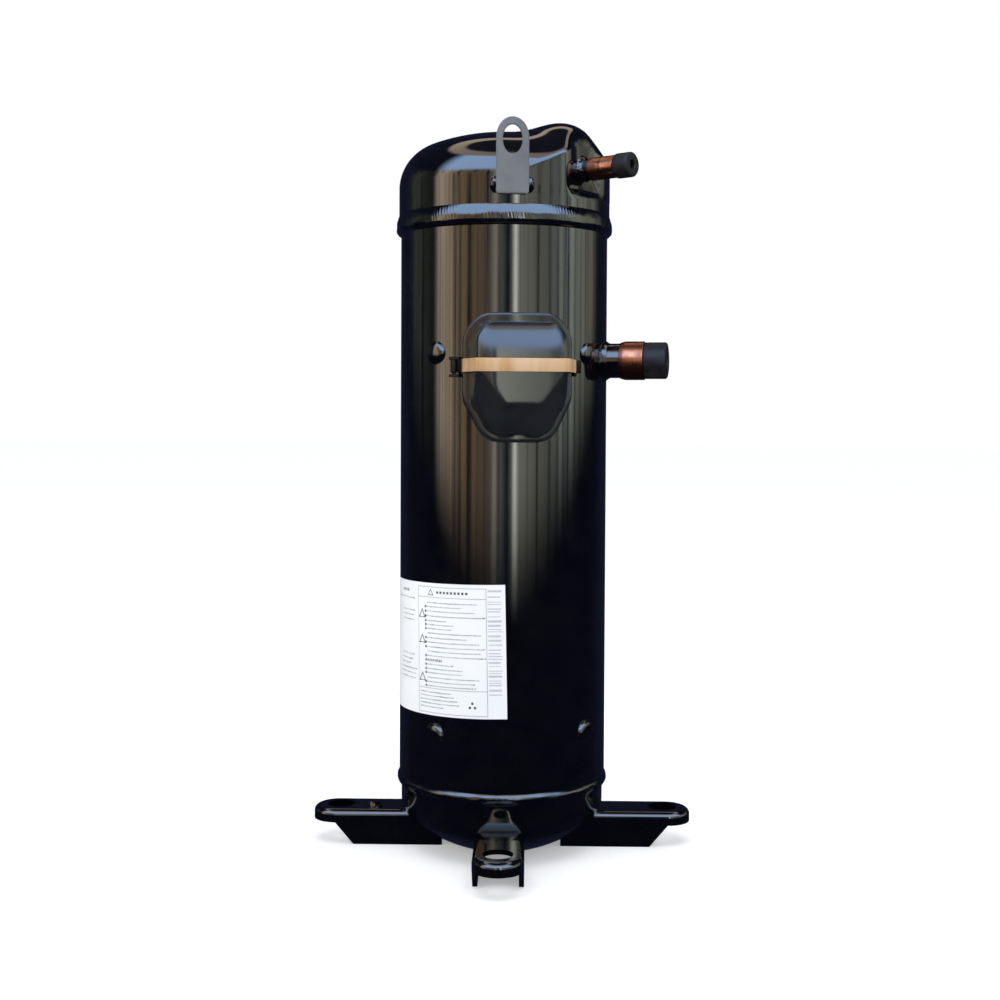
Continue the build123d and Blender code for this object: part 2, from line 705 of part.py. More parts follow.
def save_terminal():
    place = port(TERMINAL_AZ, TERMINAL_Z)
    cup = turned(
        (0, 65.2),
        (14.5, 65.2),
        (17.0, 62.0),
        (18.2, 62.0),
        (18.2, 66.2),
        (20.0, 66.2),
        (20.0, 69.2),
        (16.5, 69.2),
        (15.0, 68.2),
        (0, 68.2),
    )
    beads, pins = [], []
    for x, y in pin_places():
        cup -= Pos(x, y, 66) * Cylinder(GLASS_R, 20)
        bead = turned((PIN_R, 64.4), (GLASS_R, 65.2), (GLASS_R, 68.2), (PIN_R, 69.4))
        beads.append(place * (Pos(x, y, 0) * bead))
        tab = Pos(x, y, PIN_OUTER_R - 4) * Box(6.3, 0.8, 9)
        rod = Pos(x, y, (PIN_INNER_R + PIN_OUTER_R - 8) / 2) * Cylinder(PIN_R, PIN_OUTER_R - 8 - PIN_INNER_R)
        pins.append(place * (rod + tab))
    save("terminal_cup", place * cup)
    save("terminal_glass", *beads)
    save("terminal_pins", *pins)
    save("motor_leads", *[make_lead(x, y) for x, y in pin_places()])


def make_lead(x, y):
    """An insulated lead from a terminal pin down to the top of the winding."""
    turn_r, lead_r = 44.0, 5.0
    end_y = WINDING_TOP_Z - TERMINAL_Z
    path = FilletPolyline((x, y, PIN_INNER_R), (x, y, turn_r), (x, end_y, turn_r), radius=lead_r)
    wire = sweep(Plane(origin=path @ 0, z_dir=path % 0) * Circle(LEAD_R), path=path)
    return port(TERMINAL_AZ, TERMINAL_Z) * wire


# ---- Data plate -----------------------------------------------------------------------------


def make_data_plate():
    """A thin label that wraps round the shell."""
    span = math.radians(PLATE_AZ[1] - PLATE_AZ[0])
    middle = (PLATE_AZ[0] + PLATE_AZ[1]) / 2
    ring = tube(SHELL_R + PLATE_T, SHELL_R, *PLATE_Z)
    reach = 2 * SHELL_R
    edges = [(0, 0)]
    for i in range(5):
        angle = -span / 2 + span * i / 4
        edges.append((reach * math.sin(angle), -reach * math.cos(angle)))
    wedge = extrude(make_face(Polyline(*edges, close=True)), 300)
    return around(middle) * (ring & wedge)


# ---- Scroll set -----------------------------------------------------------------------------
def involute_point(phi, shift):
    """A point on an involute of the base circle, shifted to the wall's inner or outer flank."""
    roll = phi + shift
    x = INVOLUTE_A * (math.cos(phi) + roll * math.sin(phi))
    y = INVOLUTE_A * (math.sin(phi) - roll * math.cos(phi))
    return (x, y)


def wrap_face():
    """Plan section of one scroll wrap about its own centre."""
    half = WRAP_T / (2 * INVOLUTE_A)
    steps = 30
    angles = [WRAP_START + (WRAP_END - WRAP_START) * i / steps for i in range(steps + 1)]
    outer = [involute_point(phi, half) for phi in angles]
    inner = [involute_point(phi, -half) for phi in angles]
    with BuildSketch() as section:
        with BuildLine():
            Spline(*outer)
            Line(outer[-1], inner[-1])
            Spline(*reversed(inner))
            Line(inner[0], outer[0])
        make_face()
    return section.sketch


def make_orbiting_scroll():
    plate = tube(ORBIT_PLATE_R, 0, THRUST_Z + 0.3, ORBIT_PLATE_Z)
    hub = tube(19.0, 0, HUB_CAVITY_Z + 4, THRUST_Z + 0.3)
    wrap = Plane.XY.offset(ORBIT_PLATE_Z) * wrap_face()
    body = plate + hub + extrude(wrap, FIXED_PLATE_Z - 0.3 - ORBIT_PLATE_Z)
    body -= tube(DRIVE_BUSH_R, 0, HUB_CAVITY_Z + 3, THRUST_Z - 1)
    slot = Box(KEY_W + 2 * KEY_FACE_GAP, 17, 8.4)
    for side in (-1, 1):
        body -= Pos(0, side * SLOT_CENTRE_R, THRUST_Z + 0.3) * slot
    return Pos(ORBIT_R, 0, 0) * body


def make_fixed_scroll():
    plate = tube(SCROLL_RIM_R, 0, FIXED_PLATE_Z, FIXED_TOP_Z)
    rim = tube(SCROLL_RIM_R, SCROLL_BAY_R, SCROLL_JOINT_Z, FIXED_PLATE_Z)
    boss = tube(BOSS_R, 0, FIXED_TOP_Z, BOSS_TOP_Z)
    depth = FIXED_PLATE_Z - ORBIT_PLATE_Z - 0.3
    wrap = Rot(0, 0, 180) * (Plane.XY.offset(FIXED_PLATE_Z - depth) * wrap_face())
    body = plate + rim + boss + extrude(wrap, depth)
    body -= tube(PORT_R, 0, FIXED_PLATE_Z - 1, BOSS_TOP_Z + 1)
    for azimuth in SEAL_WELD_AZ:
        hole = Pos(0, -SCROLL_BOLT_CIRCLE_R, 370) * Cylinder(SCROLL_BOLT_R, 60)
        body -= around(azimuth) * hole
    for azimuth in (SUCTION_AZ, SUCTION_AZ + 180):
        body -= around(azimuth) * (Pos(0, -SCROLL_RIM_R, 365) * Box(26, 24, 16))
    return body - Pos(REED_SCREW_X, 0, BOSS_TOP_Z) * Cylinder(REED_SCREW_R, 16)


def make_scroll_bolts():
    """Socket-head bolts through the fixed scroll into the main frame."""
    head = Pos(0, 0, FIXED_TOP_Z + 3.5) * Cylinder(4.9, 7)
    head -= Pos(0, 0, FIXED_TOP_Z + 6) * extrude(RegularPolygon(2.9, 6), 3)
    shank = Pos(0, 0, (SCROLL_JOINT_Z - 12 + FIXED_TOP_Z) / 2) * Cylinder(
        SCROLL_BOLT_R - 0.1, FIXED_TOP_Z - SCROLL_JOINT_Z + 12
    )
    bolt = Pos(0, -SCROLL_BOLT_CIRCLE_R, 0) * (head + shank)
    return [around(azimuth) * bolt for azimuth in SEAL_WELD_AZ]


def make_oldham_ring():
    """The Oldham coupling's hoop, about its place at rest."""
    return Pos(ORBIT_R, 0, 0) * tube(OLDHAM_OUT_R, OLDHAM_IN_R, *OLDHAM_Z)


def make_oldham_keys():
    """Two keys under the hoop that slide in the frame and two above it for the orbiting scroll."""
    middle = (OLDHAM_IN_R + OLDHAM_OUT_R) / 2
    long = OLDHAM_OUT_R - OLDHAM_IN_R - 0.6
    low, high = OLDHAM_Z
    lower_h, upper_h = 5.0, 6.2
    keys = []
    for side in (-1, 1):
        lower = Box(long, KEY_W, lower_h)
        upper = Box(KEY_W, long, upper_h)
        keys.append(Pos(ORBIT_R + side * middle, 0, low - KEY_GAP - lower_h / 2) * lower)
        keys.append(Pos(ORBIT_R, side * middle, high + KEY_GAP + upper_h / 2) * upper)
    return keys


# ---- Discharge valve and partition ----------------------------------------------------------


def make_reed():
    """Spring-steel reed over the discharge port."""
    long = -REED_HINGE_X
    blade = Pos(REED_HINGE_X / 2, 0) * Rectangle(long, 8) + Circle(6.6)
    blade -= Pos(REED_SCREW_X, 0) * Circle(3.0)
    return Pos(0, 0, REED_Z) * extrude(blade, REED_T)


def make_reed_stop():
    """Sloping stop above the reed, standing on a spacer round its screw."""
    rise = math.radians(REED_STOP_RISE)
    start = (REED_HINGE_X - 0.5, REED_Z + 0.75)
    end_x = 6.5
    end = (end_x, start[1] + (end_x - start[0]) * math.tan(rise))
    top = [(x, z + REED_STOP_T) for x, z in (end, start)]
    outline = Polyline(start, end, *top, close=True)
    plate = extrude(Plane.XZ * make_face(outline), amount=4.0, both=True)
    spacer = Pos(REED_SCREW_X, 0, BOSS_TOP_Z + 1.2) * Cylinder(2.7, 2.4)
    return plate + spacer - Pos(REED_SCREW_X, 0, BOSS_TOP_Z) * Cylinder(REED_SCREW_R, 20)


def make_reed_screw():
    shank = Pos(REED_SCREW_X, 0, BOSS_TOP_Z - 2) * Cylinder(REED_SCREW_R, 12)
    head = Pos(REED_SCREW_X, 0, BOSS_TOP_Z + 5.2) * Cylinder(3.4, 2.6)
    return shank + head


def make_partition():
    """Plate that parts the discharge chamber from the shell, with an upturned rim."""
    low, high = PARTITION_Z
    disc = tube(SHELL_INNER_R - 0.1, PARTITION_BORE, low, high)
    return disc + tube(SHELL_INNER_R - 0.1, SHELL_INNER_R - 3.4, high, UPPER_SEAM_Z)


def make_boss_seal():
    return tube(PARTITION_BORE, BOSS_R, PARTITION_Z[0] + 0.5, PARTITION_Z[1] - 0.5)


# ---- Bearing frames and bushes --------------------------------------------------------------
def make_main_frame():
    body = tube(SCROLL_RIM_R, 0, FRAME_FLOOR_Z, SCROLL_JOINT_Z)
    body += tube(27.0, 0, MAIN_HUB_Z, FRAME_FLOOR_Z)
    recess_floor = OLDHAM_Z[0] - 0.5
    body -= tube(SCROLL_BAY_R, 36.3, recess_floor, SCROLL_JOINT_Z + 1)
    body -= tube(37.0, 0, THRUST_Z, SCROLL_JOINT_Z + 1)
    body -= tube(HUB_CAVITY_R, 0, HUB_CAVITY_Z, SCROLL_JOINT_Z)
    body -= tube(MAIN_BUSH_R, 0, 290, SCROLL_JOINT_Z)
    for side in (-1, 1):
        slot = Box(18, KEY_W + 2 * KEY_FACE_GAP, 11)
        body -= Pos(side * 45.2, 0, recess_floor) * slot
    pad = Pos(0, -(SHELL_INNER_R - 1.8), UPPER_WELD_Z) * Box(20, 4, 18)
    for azimuth in SEAL_WELD_AZ:
        body += around(azimuth) * pad
        hole = Pos(0, -SCROLL_BOLT_CIRCLE_R, SCROLL_JOINT_Z) * Cylinder(SCROLL_BOLT_R - 0.1, 28)
        body -= around(azimuth) * hole
    body -= around(SUCTION_AZ) * (Pos(0, -(55.5 + 10), 331) * Box(30, 20, 28))
    return body & tube(SHELL_INNER_R, 0, 290, 360)


def make_lower_frame():
    low, high = LOWER_FRAME_Z
    body = tube(22.0, 0, low, high)
    for azimuth in SEAL_WELD_AZ:
        arm = Pos(0, -40, LOWER_WELD_Z) * Box(15, 56, 11)
        pad = Pos(0, -63, LOWER_WELD_Z) * Box(26, 6, 20)
        body += around(azimuth) * (arm + pad)
    body &= tube(SHELL_INNER_R, 0, low, high)
    body -= tube(LOWER_BUSH_R, 0, low - 1, high + 1)
    for x, y in thrust_screw_places():
        body -= Pos(x, y, low) * Cylinder(THRUST_SCREW_R, 16)
    return body


def thrust_screw_places():
    turns = [math.radians(30 + 120 * i) for i in range(3)]
    return [(THRUST_SCREW_CIRCLE_R * math.cos(t), THRUST_SCREW_CIRCLE_R * math.sin(t)) for t in turns]


def make_thrust_plate():
    low = LOWER_FRAME_Z[0]
    plate = tube(21.0, 5.8, low - THRUST_PLATE_T, low)
    for x, y in thrust_screw_places():
        plate -= Pos(x, y, low) * Cylinder(THRUST_SCREW_R, 16)
    return plate


def make_thrust_screws():
    low = LOWER_FRAME_Z[0]
    shank = Pos(0, 0, low + 1) * Cylinder(THRUST_SCREW_R, 2 * THRUST_PLATE_T + 2)
    head = Pos(0, 0, low - THRUST_PLATE_T - 1.2) * Cylinder(3.2, 2.4)
    return [Pos(x, y, 0) * (shank + head) for x, y in thrust_screw_places()]


# ---- Shaft group ----------------------------------------------------------------------------
def make_crankshaft():
    bottom = LOWER_FRAME_Z[0] + 0.05
    seat_low, seat_high = ROTOR_SEAT_Z
    body = tube(SHAFT_TAIL_R, 0, bottom, seat_low)
    body += tube(SHAFT_ROTOR_R, 0, seat_low, seat_high)
    body += tube(SHAFT_MAIN_R, 0, seat_high, HUB_CAVITY_Z)
    body += Pos(ORBIT_R, 0, HUB_CAVITY_Z + 10) * Cylinder(CRANK_PIN_R, 20)
    body -= tube(OIL_BORE_R, 0, bottom - 1, HUB_CAVITY_Z + 21)
    return body - tube(PICKUP_R, 0, bottom - 1, bottom + 9)


def make_oil_pickup():
    """Tube that stands in the oil sump and feeds the shaft's bore."""
    bottom = LOWER_FRAME_Z[0] + 0.05
    body = tube(PICKUP_R, PICKUP_BORE, PICKUP_FOOT_Z, bottom + 9)
    return body - Pos(0, 0, PICKUP_FOOT_Z) * Rot(45, 0, 0) * Box(12, 4, 4)


def rotor_bar(spare):
    """One conductor bar, or its hole when given spare length."""
    low, high = STATOR_Z
    return Pos(ROTOR_BAR_CIRCLE_R, 0, (low + high) / 2) * Cylinder(ROTOR_BAR_R, high - low + spare)


def make_rotor_core():
    body = tube(ROTOR_R, SHAFT_ROTOR_R, *STATOR_Z)
    for i in range(ROTOR_BARS):
        body -= Rot(0, 0, 360 / ROTOR_BARS * i) * rotor_bar(2)
    return body


def make_rotor_cage():
    """Die-cast conductor bars and end rings."""
    low, high = STATOR_Z
    body = tube(END_RING_OUT_R, END_RING_IN_R, low - END_RING_H, low)
    body += tube(END_RING_OUT_R, END_RING_IN_R, high, high + END_RING_H)
    for i in range(ROTOR_BARS):
        body += Rot(0, 0, 360 / ROTOR_BARS * i) * rotor_bar(0)
    return body


def make_counterweight(low, high, centre_deg):
    """A part ring on the rotor's end ring that balances the orbiting scroll."""
    ring = tube(34.0, 15.6, low, high)
    half = math.radians(80)
    edges = [(0, 0)]
    for i in range(5):
        angle = math.radians(centre_deg) - half + 2 * half * i / 4
        edges.append((90 * math.cos(angle), 90 * math.sin(angle)))
    wedge = Pos(0, 0, low - 1) * extrude(make_face(Polyline(*edges, close=True)), high - low + 2)
    return ring & wedge


# ---- Stator ---------------------------------------------------------------------------------


def make_stator_core():
    low, high = STATOR_Z
    middle, long = (low + high) / 2, high - low + 2
    body = tube(STATOR_OUT_R, STATOR_IN_R, low, high)
    slot_mid = sum(SLOT_R) / 2
    slot = Pos(slot_mid, 0, middle) * Box(SLOT_R[1] - SLOT_R[0], SLOT_W, long)
    mouth = Pos(STATOR_IN_R + 1, 0, middle) * Box(6, 2, long)
    for i in range(STATOR_SLOTS):
        body -= Rot(0, 0, 360 / STATOR_SLOTS * i) * (slot + mouth)
    for i in range(6):
        body -= Rot(0, 0, 60 * i + 22) * (Pos(STATOR_OUT_R, 0, middle) * Box(5, 16, long))
    return body


def make_windings():
    """Coil sides in the slots and the rounded end turns above and below the core."""
    low, high = STATOR_Z
    inner = SLOT_R[0] + 0.4
    body = None
    for z0, z1 in ((WINDING_BOTTOM_Z, low - 0.5), (high + 0.5, WINDING_TOP_Z)):
        ring = tube(WINDING_OUT_R, inner, z0, z1)
        free_end = ring.edges().group_by(Axis.Z)[-1 if z0 > low else 0]
        ring = fillet(free_end, 6)
        body = ring if body is None else body + ring
    side = Pos((inner + SLOT_R[1]) / 2, 0, (low + high) / 2) * Box(
        SLOT_R[1] - inner - 0.4, SLOT_W - 0.4, high - low + 1
    )
    for i in range(STATOR_SLOTS):
        body += Rot(0, 0, 360 / STATOR_SLOTS * i) * side
    return body


# ---- Write every piece ----------------------------------------------------------------------
def main():
    os.makedirs("parts", exist_ok=True)
    save("shell", make_shell())
    save("top_cap", make_top_cap())
    save("bottom_cap", make_bottom_cap())
    save("upper_seam_weld", make_upper_seam_weld())
    save("lower_seam_weld", make_lower_seam_weld())
    save("plug_welds", *make_plug_welds())
    save_feet()
    save("lifting_lug", make_lug())
    save("lug_tack_welds", *make_lug_welds())
    save_lines()

    save("terminal_cover", make_cover())
    save("cover_gasket", make_gasket())
    save("cover_strap", make_strap())
    save("strap_bracket_left", make_left_bracket())
    save("strap_bracket_right", make_right_bracket())
    save_terminal()
    save("data_plate", make_data_plate())

    save("orbiting_scroll", make_orbiting_scroll())
    bush = tube(DRIVE_BUSH_R, CRANK_PIN_R + BEARING_GAP, HUB_CAVITY_Z + 4.5, THRUST_Z - 1.2)
    save("drive_bush", Pos(ORBIT_R, 0, 0) * bush)
    save("fixed_scroll", make_fixed_scroll())
    save("scroll_bolts", *make_scroll_bolts())
    save("oldham_ring", make_oldham_ring())
    save("oldham_keys", *make_oldham_keys())
    save("valve_reed", make_reed())
    save("valve_stop", make_reed_stop())
    save("valve_screw", make_reed_screw())
    save("partition_plate", make_partition())
    save("boss_seal", make_boss_seal())

    save("main_frame", make_main_frame())
    save("main_bush", tube(MAIN_BUSH_R, SHAFT_MAIN_R + BEARING_GAP, MAIN_HUB_Z + 1, HUB_CAVITY_Z - 1))
    save("lower_frame", make_lower_frame())
    low, high = LOWER_FRAME_Z
    save("lower_bush", tube(LOWER_BUSH_R, SHAFT_TAIL_R + BEARING_GAP, low + 1, high - 1))
    save("thrust_plate", make_thrust_plate())
    save("thrust_plate_screws", *make_thrust_screws())

    save("crankshaft", make_crankshaft())
    save("oil_pickup", make_oil_pickup())
    save("rotor_core", make_rotor_core())
    save("rotor_cage", make_rotor_cage())
    low, high = STATOR_Z[0] - END_RING_H, STATOR_Z[1] + END_RING_H
    save("upper_counterweight", make_counterweight(high, high + COUNTERWEIGHT_H, 180))
    save("lower_counterweight", make_counterweight(low - COUNTERWEIGHT_H, low, 0))
    save("stator_core", make_stator_core())
    save("stator_windings", make_windings())


main()
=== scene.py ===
"""Hermetic scroll compressor: finished surfaces and materials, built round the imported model.

Pieces are modelled in millimetres, in the model's own frame: +Z up the shaft axis, front towards -Y.
Azimuths are degrees from -Y, turning towards +X. In a port frame, X is tangential, Y is up and Z
points out of the shell.
"""

from __future__ import annotations

import json
import logging
import math
import random
from dataclasses import dataclass, field
from enum import Enum
from typing import Callable, Optional, Sequence

import bmesh  # noqa: E402
import bpy  # noqa: E402
from mathutils import Matrix, Vector, noise  # noqa: E402

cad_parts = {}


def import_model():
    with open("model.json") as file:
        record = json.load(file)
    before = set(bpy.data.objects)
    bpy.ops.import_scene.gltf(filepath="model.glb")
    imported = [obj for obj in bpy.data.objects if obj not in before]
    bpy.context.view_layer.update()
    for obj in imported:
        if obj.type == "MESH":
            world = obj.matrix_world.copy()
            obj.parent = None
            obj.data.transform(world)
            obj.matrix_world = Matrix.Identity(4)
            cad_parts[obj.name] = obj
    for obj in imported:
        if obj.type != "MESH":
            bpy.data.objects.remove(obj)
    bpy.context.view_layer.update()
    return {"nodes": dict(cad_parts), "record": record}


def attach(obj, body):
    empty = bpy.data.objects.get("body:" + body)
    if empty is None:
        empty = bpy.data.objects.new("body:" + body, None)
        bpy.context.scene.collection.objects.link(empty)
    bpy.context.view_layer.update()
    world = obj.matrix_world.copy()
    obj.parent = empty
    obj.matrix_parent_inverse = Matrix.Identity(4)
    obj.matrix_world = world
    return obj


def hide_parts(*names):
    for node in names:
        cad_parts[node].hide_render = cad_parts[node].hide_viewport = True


LOG = logging.getLogger("compressor")
MM = 0.001
PATTERN_RANGE = (0.3, 0.7)  # where a noise pattern's values mostly lie
Point = tuple[float, float]
Ring = list[Vector]
Tone = tuple[float, float, float]


class Ends(Enum):
    """How a loft is closed."""

    CAPS = "a flat face across each end"
    POLES = "each end ring drawn together to a point"
    LOOP = "the last ring joined back to the first"
    BASE_AND_POLE = "a flat face across the first ring, the last drawn to a point"
    POLE_ONLY = "the first ring left open, the last drawn to a point"


# ---- Modelling tools ------------------------------------------------------------------------
def deselect() -> None:
    """Leaves object mode's selection empty."""
    if bpy.context.object and bpy.context.object.mode != "OBJECT":
        bpy.ops.object.mode_set(mode="OBJECT")
    bpy.ops.object.select_all(action="DESELECT")


def activate(piece: bpy.types.Object) -> None:
    """Makes a piece the only selected and the active object.

    Args:
        piece: the piece.
    """
    deselect()
    piece.select_set(True)
    bpy.context.view_layer.objects.active = piece


def pick(mesh: bmesh.types.BMesh, chosen: set[int]) -> None:
    """Selects exactly the given vertices of the mesh in edit mode.

    Args:
        mesh: the mesh in edit mode.
        chosen: the indices of its vertices.
    """
    for face in mesh.faces:
        face.select = False
    for edge in mesh.edges:
        edge.select = False
    for vert in mesh.verts:
        vert.select = vert.index in chosen
    mesh.select_flush_mode()


def close_ring(piece: bpy.types.Object, chosen: Sequence[int], pole: bool) -> None:
    """Closes one end ring of a loft.

    Args:
        piece: the loft, in edit mode.
        chosen: the ring's vertex indices.
        pole: True to draw the ring together, False to fill it with one face.
    """
    mesh = bmesh.from_edit_mesh(piece.data)
    mesh.verts.ensure_lookup_table()
    pick(mesh, set(chosen))
    bmesh.update_edit_mesh(piece.data)
    if pole:
        bpy.ops.mesh.merge(type="COLLAPSE")
    else:
        bpy.ops.mesh.edge_face_add()


def loft(name: str, rings: Sequence[Ring], ends: Ends, smooth_deg: float = 35.0) -> bpy.types.Object:
    """Extrudes a ring of edges from one outline to the next.

    Args:
        name: the new object's name.
        rings: outlines with the same number of points, in millimetres.
        ends: how the surface is closed.
        smooth_deg: edges sharper than this stay sharp in shading.

    Returns:
        The new object, still in millimetres.
    """
    count = len(rings[0])
    deselect()
    bpy.ops.mesh.primitive_circle_add(vertices=count, radius=1.0, fill_type="NOTHING")
    piece = bpy.context.object
    piece.name = name
    piece.data.name = name
    bpy.ops.object.mode_set(mode="EDIT")
    bpy.ops.mesh.select_mode(type="VERT")
    bpy.ops.mesh.select_all(action="SELECT")
    mesh = bmesh.from_edit_mesh(piece.data)
    mesh.verts.ensure_lookup_table()
    for i, place in enumerate(rings[0]):
        mesh.verts[i].co = place
    bmesh.update_edit_mesh(piece.data)
    last = list(range(count))
    for ring in rings[1:]:
        bpy.ops.mesh.extrude_region_move(TRANSFORM_OT_translate={"value": (0, 0, 0)})
        mesh = bmesh.from_edit_mesh(piece.data)
        mesh.verts.ensure_lookup_table()
        new = []
        for i, old_index in enumerate(last):
            old = mesh.verts[old_index]
            grown = next(e.other_vert(old) for e in old.link_edges if e.other_vert(old).select)
            grown.co = ring[i]
            new.append(grown.index)
        last = new
    bmesh.update_edit_mesh(piece.data)
    first = list(range(count))
    if ends is Ends.LOOP:
        mesh = bmesh.from_edit_mesh(piece.data)
        pick(mesh, set(first) | set(last))
        bmesh.update_edit_mesh(piece.data)
        bpy.ops.mesh.bridge_edge_loops()
    else:
        close_ring(piece, last, ends is not Ends.CAPS)
        if ends is not Ends.POLE_ONLY:
            close_ring(piece, first, ends is Ends.POLES)
    bpy.ops.mesh.select_all(action="SELECT")
    bpy.ops.mesh.normals_make_consistent(inside=False)
    bpy.ops.object.mode_set(mode="OBJECT")
    bpy.ops.object.shade_smooth_by_angle(angle=math.radians(smooth_deg))
    return piece


def circle(radius: float, height: float, count: int) -> Ring:
    """A ring of points round Z."""
    turns = [2 * math.pi * i / count for i in range(count)]
    return [Vector((radius * math.cos(t), radius * math.sin(t), height)) for t in turns]


def lathe(
    name: str, profile: Sequence[Point], ends: Ends, count: int = 96, smooth_deg: float = 35.0
) -> bpy.types.Object:
    """Turns a profile of (radius, height) points about Z into a surface."""
    return loft(name, [circle(max(r, 0.01), z, count) for r, z in profile], ends, smooth_deg)


def rounded(
    points: Sequence[Point], radii: Sequence[float], steps: int = 6, closed: bool = False
) -> list[Point]:
    """Rounds the corners of a line of points with arcs.

    Args:
        points: the corners.
        radii: one radius for each corner, in order; an open line's two ends have none.
        steps: straight pieces in each arc.
        closed: True if the line ends where it starts.

    Returns:
        The rounded line's points.
    """
    corners = [Vector(p) for p in points]
    line: list[Point] = []
    for i, corner in enumerate(corners):
        if not closed and i in (0, len(corners) - 1):
            line.append((corner.x, corner.y))
            continue
        radius = radii[i] if closed else radii[i - 1]
        back = (corners[i - 1] - corner).normalized()
        ahead = (corners[(i + 1) % len(corners)] - corner).normalized()
        half = back.angle(ahead) / 2
        if radius <= 0 or half > math.pi / 2 - 1e-4:
            line.append((corner.x, corner.y))
            continue
        centre = corner + (back + ahead).normalized() * radius / math.sin(half)
        start = corner + back * radius / math.tan(half) - centre
        end = corner + ahead * radius / math.tan(half) - centre
        sweep = start.angle_signed(end)
        for step in range(steps + 1):
            turn = -sweep * step / steps
            x = start.x * math.cos(turn) - start.y * math.sin(turn)
            y = start.x * math.sin(turn) + start.y * math.cos(turn)
            line.append((centre.x + x, centre.y + y))
    return line


def spread(outline: Sequence[Point], count: int) -> list[Point]:
    """Spaces points evenly along a closed outline.

    Args:
        outline: the outline.
        count: how many points to lay along it.

    Returns:
        The points, from the outline's first.
    """
    corners = [Vector(p) for p in outline]
    lengths = [(corners[(i + 1) % len(corners)] - c).length for i, c in enumerate(corners)]
    total, points, side, walked = sum(lengths), [], 0, 0.0
    for i in range(count):
        goal = total * i / count
        while walked + lengths[side] < goal:
            walked += lengths[side]
            side += 1
        share = (goal - walked) / lengths[side] if lengths[side] else 0.0
        place = corners[side].lerp(corners[(side + 1) % len(corners)], share)
        points.append((place.x, place.y))
    return points


def arc(centre: Point, radius: float, start: float, end: float, steps: int) -> list[Point]:
    """Points on an arc between two angles in degrees."""
    turns = [math.radians(start + (end - start) * i / steps) for i in range(steps + 1)]
    return [(centre[0] + radius * math.cos(t), centre[1] + radius * math.sin(t)) for t in turns]


def port(azimuth: float, height: float) -> Matrix:
    """The port frame at an azimuth and height: X tangential, Y up, Z outwards."""
    turn = Matrix.Rotation(math.radians(azimuth), 4, "Z") @ Matrix.Rotation(math.radians(90), 4, "X")
    return Matrix.Translation((0, 0, height)) @ turn


def carve(piece: bpy.types.Object, tool: bpy.types.Object) -> None:
    """Cuts a piece with another closed piece and removes the tool.

    Args:
        piece: the piece to cut.
        tool: the closed piece to cut it with.
    """
    activate(piece)
    cut = piece.modifiers.new("carve", "BOOLEAN")
    cut.operation, cut.object, cut.solver = "DIFFERENCE", tool, "EXACT"
    bpy.ops.object.modifier_apply(modifier=cut.name)
    bpy.data.objects.remove(tool)


def drill(piece: bpy.types.Object, radius: float, reach: Point, place: Matrix, count: int = 64) -> None:
    """Cuts a round hole through a piece.

    Args:
        piece: the piece to cut.
        radius: the hole's radius.
        reach: where the hole starts and ends along the frame's Z.
        place: the hole's frame.
        count: sides of the hole.
    """
    tool = lathe("hole", [(radius, level) for level in reach], Ends.CAPS, count)
    tool.data.transform(place)
    carve(piece, tool)


def thicken(piece: bpy.types.Object, wall: float) -> None:
    """Gives an open surface its wall, inwards.

    Args:
        piece: the open surface.
        wall: its wall.
    """
    activate(piece)
    solid = piece.modifiers.new("wall", "SOLIDIFY")
    solid.thickness, solid.offset = wall, -1.0
    bpy.ops.object.modifier_apply(modifier=solid.name)


def soften(piece: bpy.types.Object, width: float, segments: int = 2, angle: float = 40.0) -> None:
    """Rounds a piece's sharp edges a little and smooths its shading.

    Args:
        piece: the piece.
        width: the width of the rounding.
        segments: steps in the rounding.
        angle: edges sharper than this, in degrees, are rounded.
    """
    activate(piece)
    bevel = piece.modifiers.new("edges", "BEVEL")
    bevel.width, bevel.segments, bevel.limit_method = width, segments, "ANGLE"
    bevel.angle_limit = math.radians(angle)
    bevel.harden_normals = False
    bpy.ops.object.modifier_apply(modifier=bevel.name)
    bpy.ops.object.shade_smooth_by_angle(angle=math.radians(angle))
    even = piece.modifiers.new("normals", "WEIGHTED_NORMAL")
    even.keep_sharp = True
    bpy.ops.object.modifier_apply(modifier=even.name)


def prism(name: str, outline: Sequence[Point], half: float) -> bpy.types.Object:
    """A block with an outline in the Y-Z plane, reaching half each way along X."""
    rings = [[Vector((x, y, z)) for y, z in outline] for x in (-half, half)]
    return loft(name, rings, Ends.CAPS)


def settle(piece: bpy.types.Object, place: Matrix = Matrix.Identity(4)) -> bpy.types.Object:
    """Moves a mesh in millimetres to its place in the model, in metres.

    Args:
        piece: the piece.
        place: its frame, in millimetres.

    Returns:
        The same piece.
    """
    piece.data.transform(Matrix.Scale(MM, 4) @ place)
    piece.data.update()
    return piece


def twin(piece: bpy.types.Object, name: str) -> bpy.types.Object:
    """A copy of a piece with a mesh of its own.

    Args:
        piece: the piece to copy.
        name: the copy's name.

    Returns:
        The copy.
    """
    copy = piece.copy()
    copy.data = piece.data.copy()
    copy.name = name
    copy.data.name = name
    bpy.context.scene.collection.objects.link(copy)
    return copy


def join(pieces: Sequence[bpy.types.Object], name: str) -> bpy.types.Object:
    """Joins pieces into one object.

    Args:
        pieces: the pieces.
        name: the joined piece's name.

    Returns:
        The joined piece.
    """
    activate(pieces[0])
    for piece in pieces:
        piece.select_set(True)
    bpy.ops.object.join()
    pieces[0].name = name
    pieces[0].data.name = name
    return pieces[0]


